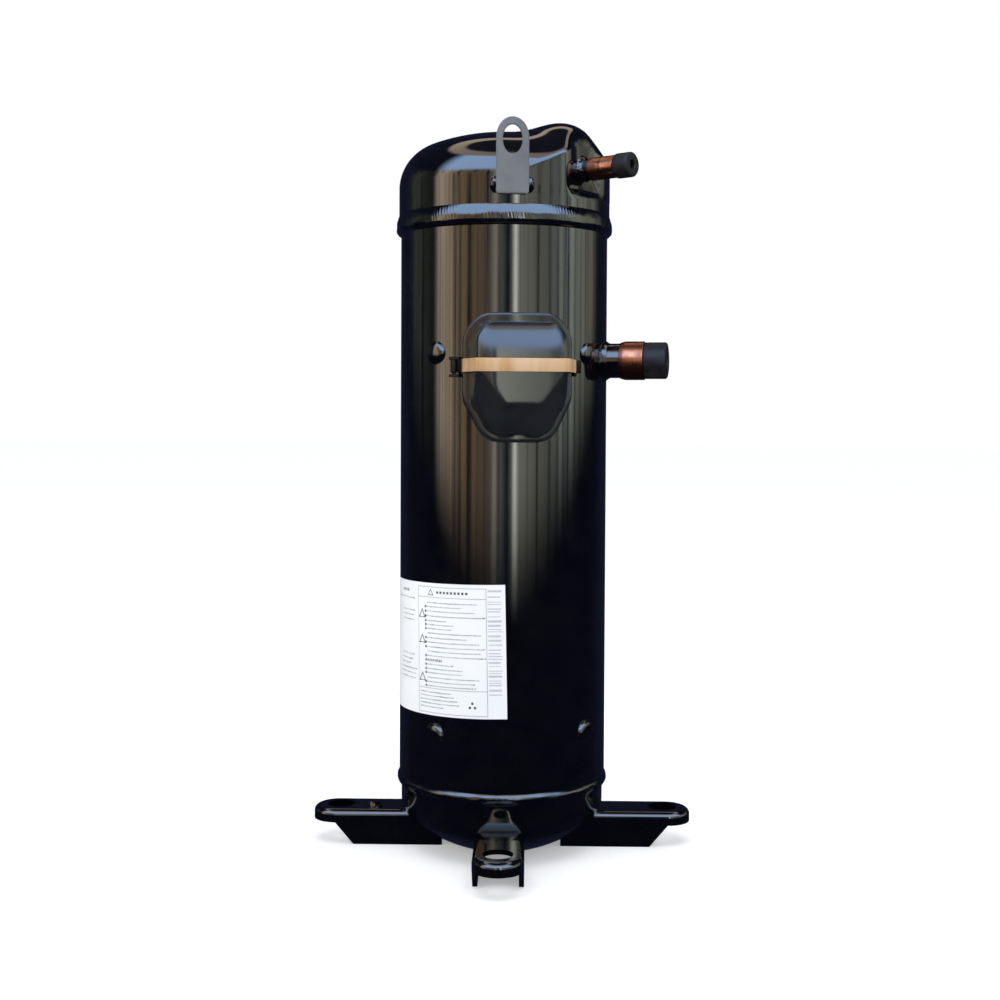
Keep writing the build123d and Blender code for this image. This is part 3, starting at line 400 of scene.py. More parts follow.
# ---- Finishes -------------------------------------------------------------------------------
class Nodes:
    """A short way to write one material's node tree."""

    def __init__(self, name: str) -> None:
        """Starts a material with only its shader and output.

        Args:
            name: the material's name.
        """
        self.material = bpy.data.materials.new(name)
        self.material.use_nodes = True
        self.tree = self.material.node_tree
        self.shader = self.tree.nodes["Principled BSDF"]
        self.coords = self.tree.nodes.new("ShaderNodeTexCoord").outputs["Object"]

    def link(self, source: bpy.types.NodeSocket, target: bpy.types.NodeSocket) -> None:
        """Joins an output to an input."""
        self.tree.links.new(source, target)

    def stretch(self, scale: tuple[float, float, float]) -> bpy.types.NodeSocket:
        """Object coordinates stretched along the axes.

        Args:
            scale: how closely the pattern repeats along X, Y and Z.

        Returns:
            The coordinates.
        """
        mapping = self.tree.nodes.new("ShaderNodeMapping")
        mapping.inputs["Scale"].default_value = scale
        self.link(self.coords, mapping.inputs["Vector"])
        return mapping.outputs["Vector"]

    def noise(
        self, scale: float, stretch: Tone = (1, 1, 1), detail: float = 3.0
    ) -> bpy.types.NodeSocket:
        """A noise pattern's value.

        Args:
            scale: the pattern's fineness.
            stretch: its fineness along each axis.
            detail: its layers of finer noise.

        Returns:
            The value, from 0 to 1.
        """
        node = self.tree.nodes.new("ShaderNodeTexNoise")
        node.inputs["Scale"].default_value = scale
        node.inputs["Detail"].default_value = detail
        self.link(self.stretch(stretch), node.inputs["Vector"])
        return node.outputs["Fac"]

    def ramp(
        self, value: bpy.types.NodeSocket, low: tuple[float, ...], high: tuple[float, ...],
        start: float, end: float
    ) -> bpy.types.NodeSocket:
        """Turns a value into a colour between two.

        Args:
            value: the value.
            low: the colour at the start.
            high: the colour at the end.
            start: the value where the change starts.
            end: the value where it ends.

        Returns:
            The colour.
        """
        node = self.tree.nodes.new("ShaderNodeValToRGB")
        node.color_ramp.elements[0].position = start
        node.color_ramp.elements[1].position = end
        node.color_ramp.elements[0].color = (*low[:3], 1)
        node.color_ramp.elements[1].color = (*high[:3], 1)
        self.link(value, node.inputs["Fac"])
        return node.outputs["Color"]

    def spread(self, value: bpy.types.NodeSocket, low: float, high: float) -> bpy.types.NodeSocket:
        """Maps a pattern's middle range to a range of values.

        Args:
            value: the pattern.
            low: the result at the bottom of its range.
            high: the result at the top.

        Returns:
            The result.
        """
        node = self.tree.nodes.new("ShaderNodeMapRange")
        node.inputs["From Min"].default_value, node.inputs["From Max"].default_value = PATTERN_RANGE
        node.inputs["To Min"].default_value = low
        node.inputs["To Max"].default_value = high
        self.link(value, node.inputs["Value"])
        return node.outputs["Result"]

    def bump(
        self,
        value: bpy.types.NodeSocket,
        depth: float,
        under: Optional[bpy.types.NodeSocket] = None,
        strength: float = 1.0,
    ) -> bpy.types.NodeSocket:
        """A relief of the given depth in metres, on top of another relief if there is one.

        Args:
            value: the pattern.
            depth: the relief's depth.
            under: the relief below it.
            strength: how strongly it shows.

        Returns:
            The bent normal.
        """
        node = self.tree.nodes.new("ShaderNodeBump")
        node.inputs["Strength"].default_value = strength
        node.inputs["Distance"].default_value = depth
        self.link(value, node.inputs["Height"])
        if under is not None:
            self.link(under, node.inputs["Normal"])
        return node.outputs["Normal"]

    def wave(self, scale: float, direction: str, distortion: float = 0.0) -> bpy.types.NodeSocket:
        """Bands along one axis.

        Args:
            scale: the bands' fineness.
            direction: the axis across them.
            distortion: how much they waver.

        Returns:
            The value, from 0 to 1.
        """
        node = self.tree.nodes.new("ShaderNodeTexWave")
        node.bands_direction = direction
        node.inputs["Scale"].default_value = scale
        node.inputs["Distortion"].default_value = distortion
        self.link(self.coords, node.inputs["Vector"])
        return node.outputs["Fac"]


@dataclass(frozen=True)
class Finish:
    """A plain finish: two mixed tones, an uneven gloss and a fine relief."""

    name: str
    tone: tuple[float, float, float]
    tint: tuple[float, float, float]
    roughness: tuple[float, float]
    metallic: float = 0.0
    patch_scale: float = 60.0
    patch_stretch: tuple[float, float, float] = (1.0, 1.0, 1.0)
    grain_scale: float = 900.0
    grain_stretch: tuple[float, float, float] = (1.0, 1.0, 1.0)
    grain_depth: float = 0.00002
    coat: float = 0.0
    coat_roughness: float = 0.05

    def build(self) -> bpy.types.Material:
        """Makes the material.

        Returns:
            The material.
        """
        nodes = Nodes(self.name)
        patches = nodes.noise(self.patch_scale, self.patch_stretch, 5.0)
        grain = nodes.noise(self.grain_scale, self.grain_stretch, 2.0)
        shader = nodes.shader
        nodes.link(nodes.ramp(patches, self.tone, self.tint, 0.35, 0.65), shader.inputs["Base Color"])
        nodes.link(nodes.spread(patches, *self.roughness), shader.inputs["Roughness"])
        nodes.link(nodes.bump(grain, self.grain_depth), shader.inputs["Normal"])
        shader.inputs["Metallic"].default_value = self.metallic
        shader.inputs["Coat Weight"].default_value = self.coat
        shader.inputs["Coat Roughness"].default_value = self.coat_roughness
        self.detail(nodes)
        return nodes.material

    def detail(self, nodes: Nodes) -> None:
        """Adds what a special finish has on top."""


@dataclass(frozen=True)
class Enamel(Finish):
    """Gloss enamel over drawn steel: long faint streaks up the tube under an orange-peel skin."""

    broad_scale: float = 70.0
    broad_run: float = 0.03
    streak_scale: float = 330.0
    streak_run: float = 0.012
    streak_depth: float = 0.00003
    peel_scale: float = 420.0
    peel_depth: float = 0.000006
    shine: float = 0.7
    coat_ior: float = 1.65

    def detail(self, nodes: Nodes) -> None:
        """Replaces the plain grain with streaks and orange peel.

        Args:
            nodes: the material's nodes.
        """
        broad = nodes.noise(self.broad_scale, (1.0, 1.0, self.broad_run), 1.0)
        narrow = nodes.noise(self.streak_scale, (1.0, 1.0, self.streak_run), 2.0)
        relief = nodes.bump(broad, self.streak_depth * 3)
        relief = nodes.bump(narrow, self.streak_depth, relief)
        relief = nodes.bump(nodes.noise(self.peel_scale, detail=1.0), self.peel_depth, relief)
        nodes.link(relief, nodes.shader.inputs["Normal"])
        nodes.shader.inputs["Specular IOR Level"].default_value = self.shine
        nodes.shader.inputs["Coat IOR"].default_value = self.coat_ior


@dataclass(frozen=True)
class Banded(Finish):
    """A finish with fine parallel bands: laminations, wire or brushed strip."""

    bands: float = 900.0
    direction: str = "Z"
    band_depth: float = 0.0001

    def detail(self, nodes: Nodes) -> None:
        """Adds the bands to the relief."""
        relief = nodes.bump(nodes.wave(self.bands, self.direction, 0.4), self.band_depth)
        nodes.link(relief, nodes.shader.inputs["Normal"])


@dataclass(frozen=True)
class StrapMetal(Finish):
    """Passivated strip, with painted shade on its ends where it runs back to the shell."""

    # painted shade: inside dark_r the strip's ends take this dark tone, and it fades out towards the outer
    # radius
    shade: Tone = (0.012, 0.009, 0.007)
    unshaded_r: float = 0.0865
    dark_r: float = 0.0845

    def detail(self, nodes: Nodes) -> None:
        """Paints shade on the strip's ends, by distance from the shaft axis.

        Args:
            nodes: the material's nodes.
        """
        flat = nodes.tree.nodes.new("ShaderNodeVectorMath")
        flat.operation = "MULTIPLY"
        flat.inputs[1].default_value = (1, 1, 0)
        nodes.link(nodes.coords, flat.inputs[0])
        reach = nodes.tree.nodes.new("ShaderNodeVectorMath")
        reach.operation = "LENGTH"
        nodes.link(flat.outputs["Vector"], reach.inputs[0])
        share = nodes.tree.nodes.new("ShaderNodeMapRange")
        share.inputs["From Min"].default_value = self.dark_r
        share.inputs["From Max"].default_value = self.unshaded_r
        nodes.link(reach.outputs["Value"], share.inputs["Value"])
        mix = nodes.tree.nodes.new("ShaderNodeMix")
        mix.data_type = "RGBA"
        nodes.link(share.outputs["Result"], mix.inputs[0])
        mix.inputs[6].default_value = (*self.shade, 1)
        nodes.link(nodes.shader.inputs["Base Color"].links[0].from_socket, mix.inputs[7])
        nodes.link(mix.outputs[2], nodes.shader.inputs["Base Color"])


@dataclass(frozen=True)
class Glass(Finish):
    """Dark fused glass."""

    def detail(self, nodes: Nodes) -> None:
        """Lets some light through."""
        nodes.shader.inputs["Transmission Weight"].default_value = 0.5
        nodes.shader.inputs["IOR"].default_value = 1.5


FINISHES: dict[str, Finish] = {
    "black_paint": Enamel(
        "gloss_enamel", (0.0010, 0.0011, 0.0018), (0.0022, 0.0024, 0.0032), (0.05, 0.10), coat=1.0,
        coat_roughness=0.03
    ),
    # painted reflection: the lug's lighter grey stands in for the bright light that its flat face reflects
    "lug_grey_painted_reflection": Finish(
        "lug_enamel_painted_reflection", (0.11, 0.12, 0.135), (0.15, 0.16, 0.175), (0.30, 0.42), grain_depth=4e-5
    ),
    "bracket_paint": Finish("bracket_enamel", (0.004, 0.004, 0.005), (0.008, 0.008, 0.009), (0.55, 0.7)),
    "copper_tube": Finish(
        "drawn_copper", (0.72, 0.30, 0.17), (0.38, 0.13, 0.075), (0.2, 0.42), metallic=1.0,
        patch_scale=120.0,
        grain_scale=500.0, grain_depth=3e-5,
    ),
    "black_rubber": Finish(
        "moulded_rubber", (0.005, 0.005, 0.006), (0.012, 0.012, 0.013), (0.45, 0.6), patch_scale=150.0,
        grain_depth=5e-5
    ),
    "cover_plastic": Finish(
        "moulded_plastic", (0.008, 0.009, 0.011), (0.013, 0.015, 0.018), (0.20, 0.26), patch_scale=40.0,
        grain_scale=1500.0, grain_depth=1e-5, coat=1.0, coat_roughness=0.14,
    ),
    "gasket_foam": Finish(
        "closed_cell_foam", (0.02, 0.02, 0.02), (0.05, 0.05, 0.05), (0.8, 0.95), grain_depth=2e-4
    ),
    # the strap's tan, with painted shade on its ends
    "tan_strap": StrapMetal(
        "passivated_strap", (0.50, 0.27, 0.11), (0.70, 0.47, 0.28), (0.34, 0.5), metallic=0.25,
        patch_scale=75.0,
        patch_stretch=(1.0, 1.0, 0.1), grain_scale=1600.0, grain_stretch=(0.06, 0.06, 1.0), grain_depth=3e-5,
    ),
    "plated_steel": Finish("zinc_plate", (0.50, 0.50, 0.48), (0.68, 0.67, 0.62), (0.28, 0.45), metallic=1.0),
    "terminal_glass": Glass("fused_glass", (0.05, 0.09, 0.11), (0.08, 0.13, 0.16), (0.05, 0.12)),
    "lead_sleeve": Banded(
        "braided_sleeve", (0.35, 0.03, 0.025), (0.5, 0.06, 0.05), (0.6, 0.75), bands=700.0,
        direction="DIAGONAL"
    ),
    "label_paper": Finish(
        "satin_label", (0.80, 0.82, 0.86), (0.88, 0.89, 0.91), (0.30, 0.38), patch_scale=12.0,
        grain_scale=2500.0,
        grain_depth=6e-6,
    ),
    "label_ink": Finish(
        "label_ink", (0.03, 0.03, 0.035), (0.07, 0.07, 0.075), (0.35, 0.5), grain_depth=2e-6
    ),
    "label_tint": Finish(
        "label_tint", (0.50, 0.51, 0.56), (0.60, 0.61, 0.66), (0.35, 0.5), grain_depth=2e-6
    ),
    "cast_iron": Finish(
        "machined_iron", (0.24, 0.24, 0.245), (0.36, 0.36, 0.365), (0.3, 0.5), metallic=1.0,
        patch_scale=200.0,
        grain_scale=1400.0, grain_depth=6e-5,
    ),
    "frame_steel": Finish(
        "pressed_steel", (0.30, 0.30, 0.31), (0.42, 0.42, 0.43), (0.35, 0.5), metallic=1.0
    ),
    "sintered_iron": Finish(
        "sintered_iron", (0.33, 0.32, 0.31), (0.46, 0.45, 0.43), (0.4, 0.6), metallic=1.0, grain_depth=9e-5
    ),
    "bearing_lining": Finish(
        "bronze_lining", (0.50, 0.35, 0.19), (0.63, 0.47, 0.27), (0.25, 0.4), metallic=1.0
    ),
    "spring_steel": Banded(
        "spring_steel", (0.50, 0.51, 0.53), (0.62, 0.63, 0.65), (0.15, 0.25), metallic=1.0, bands=1200.0,
        direction="Y", band_depth=1e-5,
    ),
    "ground_steel": Banded(
        "ground_steel", (0.52, 0.52, 0.53), (0.65, 0.65, 0.66), (0.14, 0.24), metallic=1.0, bands=1500.0,
        band_depth=1e-5,
    ),
    "tube_steel": Finish("drawn_steel", (0.42, 0.42, 0.42), (0.55, 0.55, 0.55), (0.25, 0.4), metallic=1.0),
    "seal_ptfe": Finish("filled_seal", (0.55, 0.50, 0.40), (0.68, 0.62, 0.51), (0.4, 0.55)),
    "lamination_steel": Banded(
        "laminations", (0.26, 0.27, 0.30), (0.36, 0.37, 0.40), (0.35, 0.5), metallic=1.0, bands=320.0,
        band_depth=2e-4
    ),
    "cage_aluminium": Finish(
        "die_cast_aluminium", (0.62, 0.63, 0.64), (0.78, 0.79, 0.80), (0.35, 0.5), metallic=1.0,
        grain_depth=8e-5
    ),
    "weight_brass": Finish("cast_brass", (0.56, 0.40, 0.18), (0.70, 0.54, 0.28), (0.3, 0.45), metallic=1.0),
    "winding_copper": Banded(
        "enamelled_wire", (0.45, 0.16, 0.06), (0.62, 0.27, 0.11), (0.25, 0.4), metallic=0.8, bands=450.0,
        direction="DIAGONAL", band_depth=3e-4,
    ),
}
MATERIALS: dict[str, bpy.types.Material] = {}


def material(name: str) -> bpy.types.Material:
    """The material of a finish, made once.

    Args:
        name: the finish's key.

    Returns:
        The material.
    """
    if name not in MATERIALS:
        MATERIALS[name] = FINISHES[name].build()
    return MATERIALS[name]


def dress(piece: bpy.types.Object, body: str, slot: str, *nodes: str, finish: str = "") -> bpy.types.Object:
    """Gives a piece its finish and its body, and hides the CAD nodes it stands for.

    Args:
        piece: the finished piece, in metres.
        body: the body that it rides on.
        slot: the record's material slot.
        nodes: the nodes that it replaces.
        finish: another finish than the slot's own.

    Returns:
        The same piece.
    """
    piece.data.materials.clear()
    piece.data.materials.append(material(finish or slot))
    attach(piece, body)
    if nodes:
        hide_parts(*nodes)
    LOG.info("%s: %d faces on %s", piece.name, len(piece.data.polygons), body)
    return piece


def ripple(angle: float, across: float, pitch: float, seed: float) -> float:
    """A weld bead's roughness: overlapping scallops plus slow wander.

    Args:
        angle: place along the bead, in radians.
        across: place across the bead.
        pitch: scallops in a full turn.
        seed: moves the pattern.

    Returns:
        A value between about -1 and 1.
    """
    scallop = abs(math.sin(angle * pitch / 2 + across * 0.6)) - 0.6
    place = Vector((math.cos(angle) * 9, math.sin(angle) * 9, across + seed))
    return 0.45 * scallop + 0.9 * noise.noise(place) + 0.35 * noise.noise(place * 4)


# ---- Shell and caps -------------------------------------------------------------------------
@dataclass
class Casing:
    """The welded pressure casing."""

    shell_r: float = 69.9
    wall: float = 4.0
    low_seam: float = 45.5
    high_seam: float = 418.0
    base_r: float = 68.5
    base_knuckle_z: float = 31.0
    base_dish_r: float = 97.0
    base_dish_z: float = 92.15
    base_flat: float = 0.8
    terminal_az: float = 7.5
    terminal_z: float = 298.0
    terminal_hole: float = 20.0
    suction_az: float = 77.5
    suction_z: float = 327.5
    suction_hole: float = 11.55
    hole_reach: Point = (50.0, 90.0)
    bead_root: float = 0.6
    low_bead_half: float = 4.2
    low_bead_centre: float = 66.4
    low_bead_r: float = 4.9
    low_ripple: Point = (0.22, 260)
    high_bead_root: Point = (68.6, 411.0)
    high_bead_centre: Point = (69.0, 415.4)
    high_bead_r: float = 4.1
    high_bead_top: tuple[Point, ...] = (
        (73.0, 417.4), (72.8, 419.6), (72.1, 422.0), (71.5, 424.4), (70.2, 426.2), (68.6, 426.2),
    )
    high_ripple: Point = (0.3, 210)
    weld_heights: tuple[float, float] = (84.2, 330.6)
    weld_azimuths: tuple[float, ...] = (-37.5, 52.5, 142.5, 232.5)
    spot_foot: Point = (7.6, -1.0)
    spot_shoulder: Point = (4.6, -0.4)
    spot_shoulder_r: float = 2.9
    spot_crown: tuple[Point, Point] = ((3.4, 2.75), (1.6, 2.95))
    spot_unevenness: float = 0.07

    def build(self) -> None:
        """Builds the shell, the bottom cap and the welds."""
        self.shell()
        self.bottom_cap()
        self.low_bead()
        self.high_bead()
        self.plug_welds()

    def shell(self) -> None:
        """The rolled tube with its two round openings."""
        rows = 30
        step = (self.high_seam - self.low_seam) / rows
        inner = self.shell_r - self.wall
        profile = [(self.shell_r, self.low_seam + step * i) for i in range(rows + 1)]
        profile += [(inner, self.high_seam), (inner, self.low_seam)]
        tube = lathe("shell_tube", profile, Ends.LOOP, 240)
        for azimuth, height, radius in (
            (self.terminal_az, self.terminal_z, self.terminal_hole),
            (self.suction_az, self.suction_z, self.suction_hole),
        ):
            drill(tube, radius, self.hole_reach, port(azimuth, height))
        bpy.ops.object.shade_smooth_by_angle(angle=math.radians(30))
        dress(settle(tube), "casing", "black_paint", "shell")

    def base_profile(self, inset: float) -> list[Point]:
        """The bottom cap's outline from its flat centre out to its rim.

        Args:
            inset: how far inside the outer surface.

        Returns:
            The profile, as (radius, height) points.
        """
        rise = self.base_dish_z - self.base_knuckle_z
        gap = self.base_dish_r - self.base_r
        knuckle = ((self.base_dish_r**2 - self.base_r**2) - rise**2) / (2 * gap)
        middle = self.base_r - knuckle
        lean = math.degrees(math.atan2(rise, middle))
        dish, flat = self.base_dish_r - inset, self.base_flat + inset
        flat_r = math.sqrt(dish**2 - (self.base_dish_z - flat) ** 2)
        flat_lean = math.degrees(math.atan2(self.base_dish_z - flat, flat_r))
        crown = arc((0, self.base_dish_z), dish, -flat_lean, -lean, 24)
        turn = arc((middle, self.base_knuckle_z), knuckle - inset, -lean, 0, 16)
        return [(flat_r * 0.5, flat), *crown, *turn[1:], (self.base_r - inset, self.low_seam)]

    def bottom_cap(self) -> None:
        """The dished bottom pressing."""
        outside = self.base_profile(0)
        inside = self.base_profile(self.wall)
        cap = lathe("bottom_pressing", [*outside, *reversed(inside)], Ends.CAPS, 192, 50)
        dress(settle(cap), "casing", "black_paint", "bottom_cap")

    def bead(
        self, name: str, profile: Sequence[Point], free: range, depth: float, pitch: float
    ) -> bpy.types.Object:
        """A rippled girth weld.

        Args:
            name: the piece's name.
            profile: its section, a closed line of (radius, height) points.
            free: the profile's points that show.
            depth: the ripples' height.
            pitch: ripples round the girth.

        Returns:
            The bead, in millimetres.
        """
        count, rings = 900, []
        for i, (radius, height) in enumerate(profile):
            ring = circle(radius, height, count)
            if i in free:
                for k, place in enumerate(ring):
                    swell = 1 + depth / radius * ripple(2 * math.pi * k / count, i * 0.8, pitch, height)
                    place.x *= swell
                    place.y *= swell
            rings.append(ring)
        return loft(name, rings, Ends.LOOP, 60)

    def low_bead(self) -> None:
        """The weld between the shell and the bottom cap."""
        root, half = self.base_r - self.bead_root, self.low_bead_half
        crest = arc((self.low_bead_centre, self.low_seam), self.low_bead_r, -58, 58, 12)
        section = [(root, self.low_seam - half), *crest, (root, self.low_seam + half)]
        bead = self.bead("lower_girth_weld", section, range(3, 12), *self.low_ripple)
        dress(settle(bead), "casing", "black_paint", "lower_seam_weld")

    def high_bead(self) -> None:
        """The weld between the top cap's rim and the shell."""
        lower = arc(self.high_bead_centre, self.high_bead_r, -80, 0, 8)
        section = [self.high_bead_root, *lower, *self.high_bead_top]
        bead = self.bead("upper_girth_weld", section, range(4, 13), *self.high_ripple)
        dress(settle(bead), "casing", "black_paint", "upper_seam_weld")

    def weld_spot(self, seed: float) -> bpy.types.Object:
        """One domed plug weld in a port frame, its foot on the shell.

        Args:
            seed: varies its outline.

        Returns:
            The weld, in millimetres.
        """
        count, rings = 56, []
        shoulder = arc(self.spot_shoulder, self.spot_shoulder_r, 10, 80, 7)
        for radius, height in (self.spot_foot, *shoulder, *self.spot_crown):
            ring = circle(radius, 0, count)
            for k, place in enumerate(ring):
                turn = 2 * math.pi * k / count
                way = Vector((math.cos(turn), math.sin(turn), seed))
                swell = 1 + self.spot_unevenness * noise.noise(way * 1.3)
                place.x *= swell
                place.y *= swell
                place.z = math.sqrt(self.shell_r**2 - place.x**2) + height
            rings.append(ring)
        return loft("weld_spot", rings, Ends.BASE_AND_POLE, 60)

    def plug_welds(self) -> None:
        """The eight plug welds, as one piece."""
        spots = []
        for height in self.weld_heights:
            for azimuth in self.weld_azimuths:
                spot = self.weld_spot(azimuth + height)
                spot.data.transform(port(azimuth, height))
                spots.append(spot)
        dress(settle(join(spots, "plug_weld_spots")), "casing", "black_paint", "plug_welds")


@dataclass
class TopCap:
    """The domed top pressing with its raised pocket over the discharge stub."""

    rim_r: float = 71.3
    rim_z: float = 418.0
    wall: float = 4.0
    knuckle_r: float = 30.0
    knuckle_z: float = 443.0
    crown_r: float = 145.0
    pocket_az: float = 52.5
    pocket_offset: float = 49.0
    nose_r: float = 19.0
    nose_top: float = 481.1
    slope_deg: float = 60.0
    pad_r: float = 66.0
    pad_bend_z: float = 445.3
    blend: float = 20.0
    pad_blend: float = 5.0
    pad_half: float = 13.0
    pad_lean: float = 18.0
    swell: float = 0.15
    port_z: float = 450.4
    port_r: float = 7.0
    port_reach: Point = (50.0, 80.0)
    rim_step: float = 3.0
    rim_rows: int = 6
    eye_rise: float = 18.0
    count: int = 224
    rows: int = 104

    def build(self) -> None:
        """Builds the pressing."""
        rings = [
            circle(self.rim_r, self.rim_z + self.rim_step * i, self.count) for i in range(self.rim_rows)
        ]
        eye = Vector((0, 0, self.rim_z + self.eye_rise))
        for row in range(self.rows):
            rise = math.radians(90 * (row / self.rows))
            rings.append([self.reach(eye, 2 * math.pi * k / self.count, rise) for k in range(self.count)])
        cap = loft("top_pressing", rings, Ends.POLE_ONLY, 60)
        thicken(cap, self.wall)
        drill(cap, self.port_r, self.port_reach, port(self.pocket_az, self.port_z), 48)
        bpy.ops.object.shade_smooth_by_angle(angle=math.radians(45))
        dress(settle(cap), "casing", "black_paint", "top_cap")

    def reach(self, eye: Vector, turn: float, rise: float) -> Vector:
        """Where a ray from inside the cap meets its surface.

        Args:
            eye: where the ray starts.
            turn: its direction round Z, in radians.
            rise: its angle above level, in radians.

        Returns:
            The point.
        """
        ray = Vector((math.cos(turn) * math.cos(rise), math.sin(turn) * math.cos(rise), math.sin(rise)))
        low, high = 30.0, 90.0
        for _ in range(26):
            middle = (low + high) / 2
            if self.depth(eye + ray * middle) < 0:
                low = middle
            else:
                high = middle
        return eye + ray * high

    @staticmethod
    def soft_min(a: float, b: float, blend: float) -> float:
        """The smaller of two values, with a rounded change-over."""
        share = max(blend - abs(a - b), 0.0) / blend
        return min(a, b) - share * share * blend / 4

    def depth(self, place: Vector) -> float:
        """How far a point is outside the cap's surface; negative inside.

        Args:
            place: the point.

        Returns:
            The distance, about.
        """
        across = math.hypot(place.x, place.y)
        middle = self.rim_r - self.knuckle_r
        drop = math.sqrt((self.crown_r - self.knuckle_r) ** 2 - middle**2)
        up = place.z - self.knuckle_z
        if up < 0:
            dome = across - self.rim_r
        elif across > middle + up * middle / drop:
            dome = math.hypot(across - middle, up) - self.knuckle_r
        else:
            dome = math.hypot(across, up + drop) - self.crown_r
        out = Matrix.Rotation(math.radians(-self.pocket_az), 4, "Z") @ place
        forward = -out.y
        nose_across = math.hypot(out.x, forward - self.pocket_offset)
        nose_up = place.z - (self.nose_top - self.nose_r)
        slope = math.radians(self.slope_deg)
        if math.atan2(nose_across, nose_up) < slope:
            nose = math.hypot(nose_across, nose_up) - self.nose_r
        else:
            nose = nose_across * math.sin(slope) + nose_up * math.cos(slope) - self.nose_r
        nose = -self.soft_min(-nose, -(across - self.rim_r), 4.0)
        body = max(self.soft_min(dome, nose, self.blend), across - self.rim_r - self.swell)
        beyond = forward - self.pad_r
        lean = math.radians(self.pad_lean)
        foot = beyond * math.cos(lean) + (place.z - self.pad_bend_z) * math.sin(lean)
        side = (beyond + self.pad_half - abs(out.x)) / math.sqrt(2)
        pad = self.soft_min(self.soft_min(beyond, foot, self.pad_blend), side, self.pad_blend)
        return -self.soft_min(-body, -pad, self.pad_blend)


@dataclass
class Foot:
    """A pressed channel foot: skirts down both sides and a shallow lip round the end."""

    width: float = 32.0
    top: float = 23.4
    plate: float = 3.2
    bend: float = 4.2
    end_centre: float = 112.5
    inner_end: float = 40.0
    skirt_end: float = 100.0
    lip: float = 14.5
    hole_r: float = 9.5
    hole_centre: float = 110.0
    hole_reach: Point = (5.0, 40.0)
    inner_bend: float = 1.2
    edge: float = 0.45
    sides: dict[str, float] = field(
        default_factory=lambda: {"front": 0.0, "right": 90.0, "rear": 180.0, "left": 270.0}
    )

    def outline(self, inset: float, inner_end: float) -> list[Point]:
        """The foot's plan, pointing along -Y.

        Args:
            inset: how far inside the edge.
            inner_end: where it starts, from the shaft axis.

        Returns:
            The plan's points.
        """
        half = self.width / 2 - inset
        tip = arc((0, -self.end_centre), half, 180, 360, 40)
        straight = [(half, -inner_end - (self.end_centre - inner_end) * (1 - i / 12)) for i in range(1, 13)]
        back = [(-x, y) for x, y in reversed(straight)]
        return [*tip, *straight, *back]

    def block(
        self, inset: float, top: float, bend: float, inner_end: float, floor: float
    ) -> bpy.types.Object:
        """A solid block with the foot's plan and rounded top edges.

        Args:
            inset: how far inside the foot's edge.
            top: its top.
            bend: its top edge's radius.
            inner_end: where it starts, from the shaft axis.
            floor: its underside.

        Returns:
            The block.
        """
        levels = [(0.0, floor), (0.0, top - bend)]
        levels += [(bend * (1 - math.cos(t)), top - bend + bend * math.sin(t)) for t in self.quarter(7)]
        rings = [[Vector((x, y, z)) for x, y in self.outline(inset + d, inner_end)] for d, z in levels]
        return loft("foot_block", rings, Ends.CAPS, 40)

    @staticmethod
    def quarter(steps: int) -> list[float]:
        """Angles through a quarter turn, without its start."""
        return [math.pi / 2 * i / steps for i in range(1, steps + 1)]

    def build(self, casing: Casing) -> None:
        """Models one foot and copies it round the casing.

        Args:
            casing: the casing that the feet are welded to.
        """
        foot = self.block(0.0, self.top, self.bend, self.inner_end, 0.0)
        carve(
            foot,
            self.block(self.plate, self.top - self.plate, self.inner_bend, self.inner_end - 12.0, -2.0)
        )
        tip = self.end_centre + self.width
        clear = [
            (-self.skirt_end, 0), (-self.end_centre, self.lip), (-tip, self.lip), (-tip, -3),
            (-self.skirt_end, -3)
        ]
        carve(foot, prism("clearance", clear, self.width))
        drill(foot, self.hole_r, self.hole_reach, Matrix.Translation((0, -self.hole_centre, 0)))
        carve(foot, lathe("cap_form", [*casing.base_profile(0), (casing.base_r, 60.0)], Ends.CAPS, 96))
        soften(foot, self.edge, 2, 38)
        settle(foot)
        for side, azimuth in self.sides.items():
            copy = twin(foot, f"channel_foot_{side}")
            copy.data.transform(Matrix.Rotation(math.radians(azimuth), 4, "Z"))
            dress(copy, "casing", "black_paint", f"foot_{side}")
        bpy.data.objects.remove(foot)


